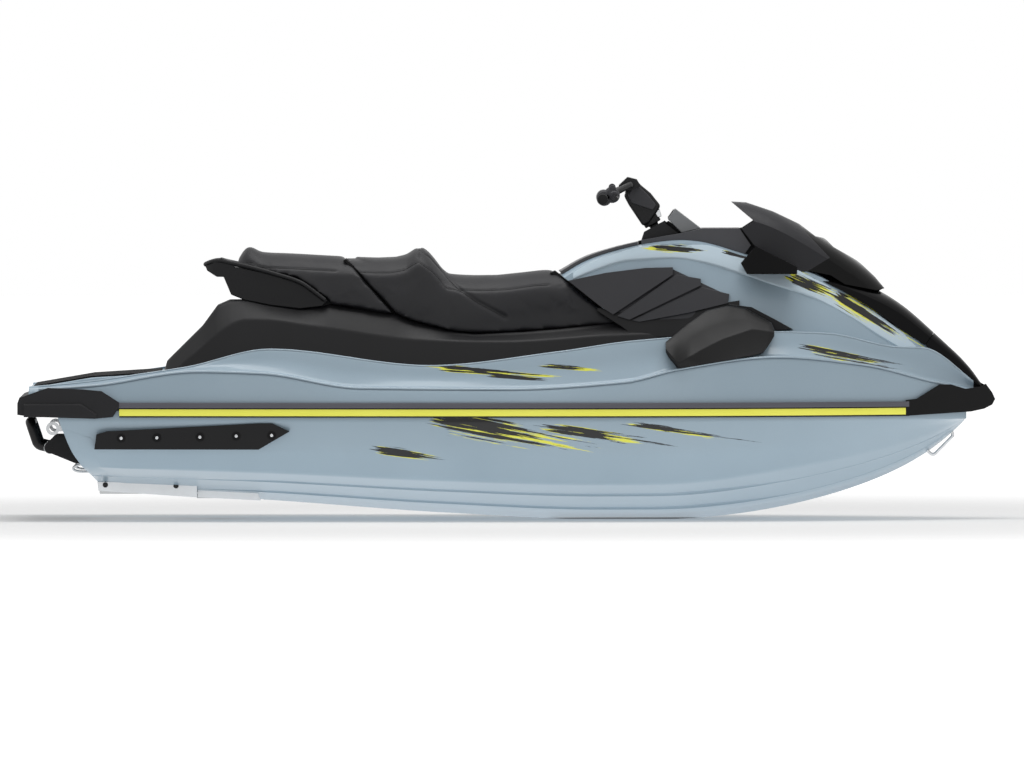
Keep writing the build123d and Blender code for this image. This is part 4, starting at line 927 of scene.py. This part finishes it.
# ---------------------------------------------------------------- tie-down loops
# Bent stainless rod, bolted through the foot of the transom on each side.
# A strap through each loop holds the craft down on its trailer.
for hand, side_name in hands:
    round_bar(f"tie_down_{side_name}", [
        (-1440, hand * 250, -44), (-1476, hand * 250, -52), (-1490, hand * 250, -66), (-1462, hand * 250, -76),
        (-1430, hand * 250, -74)], 4.5, polished_steel)

# ---------------------------------------------------------------- boarding step
# Coated steel tube, folded up under the bumper, on stainless collars between two bolted brackets.
# It swings down behind the transom, so that a swimmer can climb aboard.
dress(["boarding_step"], coated_steel)
dress(["step_bracket_left", "step_bracket_right"], black_abs, edge=4)
turned("step_collars", [(-1564.7, y, 7) for y in (-222, -190, 188, 220)], (0, 1, 0),
       [(0, 20.6), (0.5, 21.4), (3.5, 21.4), (4, 20.6)], polished_steel, "boarding_step")

# ---------------------------------------------------------------- studio
# A plain pale floor in a white surround, a large lamp overhead, one at the side, and a weak panel that stands
# for the light off the ground. Rays that see the floor straight, mirrored or through something clear find it
# lifted towards white, more so beyond the lamps' reach.
ground = cad_box[0].z
reach = 60.0
lamp_reach, haze_reach = 1.6, 6.0         # metres from the middle of the floor
near_lift, far_lift = 0.12, 0.62


def background_rays(tree):
    """1 for the rays that see the background: straight, mirrored, or through something clear."""
    path = add(tree, "ShaderNodeLightPath")
    straight = reckon(tree, "MAXIMUM", path.outputs["Is Camera Ray"], path.outputs["Is Glossy Ray"])
    return reckon(tree, "MAXIMUM", straight, path.outputs["Is Transmission Ray"])


floor_mesh = bpy.data.meshes.new("studio_floor")
floor_mesh.from_pydata([(-reach, -reach, 0), (reach, -reach, 0), (reach, reach, 0), (-reach, reach, 0)], [],
                       [(0, 1, 2, 3)])
floor = bpy.data.objects.new("studio_floor", floor_mesh)
floor.location.z = ground
bpy.context.scene.collection.objects.link(floor)
# Matt paper takes the shadow and mirrors nothing.
paper, tree, shader = material("white_paper", Base_Color=colour("#DADADA"), Roughness=0.9)
seen = background_rays(tree)
place = local_place(tree)
away = add(tree, "ShaderNodeVectorMath", {0: place}, operation="LENGTH")
level = between(tree, away.outputs["Value"], lamp_reach, haze_reach, near_lift, far_lift,
                interpolation_type="SMOOTHSTEP")
glow = add(tree, "ShaderNodeEmission", {"Color": (1, 1, 1, 1), "Strength": level})
dark = add(tree, "ShaderNodeBsdfTransparent", {"Color": (0, 0, 0, 1)})
lift = add(tree, "ShaderNodeMixShader", {0: seen, 1: dark.outputs[0], 2: glow.outputs[0]})
both = add(tree, "ShaderNodeAddShader", {0: shader.outputs[0], 1: lift.outputs[0]})
tree.links.new(both.outputs[0], tree.nodes["Material Output"].inputs["Surface"])
floor_mesh.materials.append(paper)

world = bpy.data.worlds.new("studio")
world.use_nodes = True
tree = world.node_tree
level = add(tree, "ShaderNodeMix", {0: background_rays(tree), 2: 0.6, 3: 1.0})
tree.links.new(level.outputs[0], tree.nodes["Background"].inputs["Strength"])
tree.nodes["Background"].inputs["Color"].default_value = (1, 1, 1, 1)
bpy.context.scene.world = world


def lamp(name, place, target, size, watts):
    data = bpy.data.lights.new(name, "AREA")
    data.shape = "RECTANGLE"
    data.size, data.size_y = size
    data.energy = watts
    obj = bpy.data.objects.new(name, data)
    obj.location = place
    obj.rotation_mode = "QUATERNION"
    obj.rotation_quaternion = (Vector(target) - Vector(place)).to_track_quat("-Z", "Y")
    obj.visible_camera = False
    bpy.context.scene.collection.objects.link(obj)


lamp("overhead_softbox", (0, -0.4, 3.6), (0, 0, 0.2), (4.5, 1.6), 88)
lamp("side_softbox", (0.5, -5.0, 1.8), (0, 0, 0.3), (4.0, 1.6), 10)
lamp("floor_panel", (0, 0, ground + 0.002), (0, 0, 1.0), (4.0, 2.0), 15)

camera_data = bpy.data.cameras.new("camera")
camera = placed("camera", camera_data)
bpy.context.scene.camera = camera
distance, view_width, tilt = 100.0, 3.514, math.radians(0.9)
aim = Vector((0.017, 0, 0.222))
camera_data.lens = 36 * distance / view_width
camera_data.clip_end = 250
camera.location = aim + Vector((0, -math.cos(tilt), math.sin(tilt))) * distance
camera.rotation_mode = "QUATERNION"
camera.rotation_quaternion = (aim - camera.location).to_track_quat("-Z", "Y")
bpy.context.scene.view_settings.view_transform = "Standard"
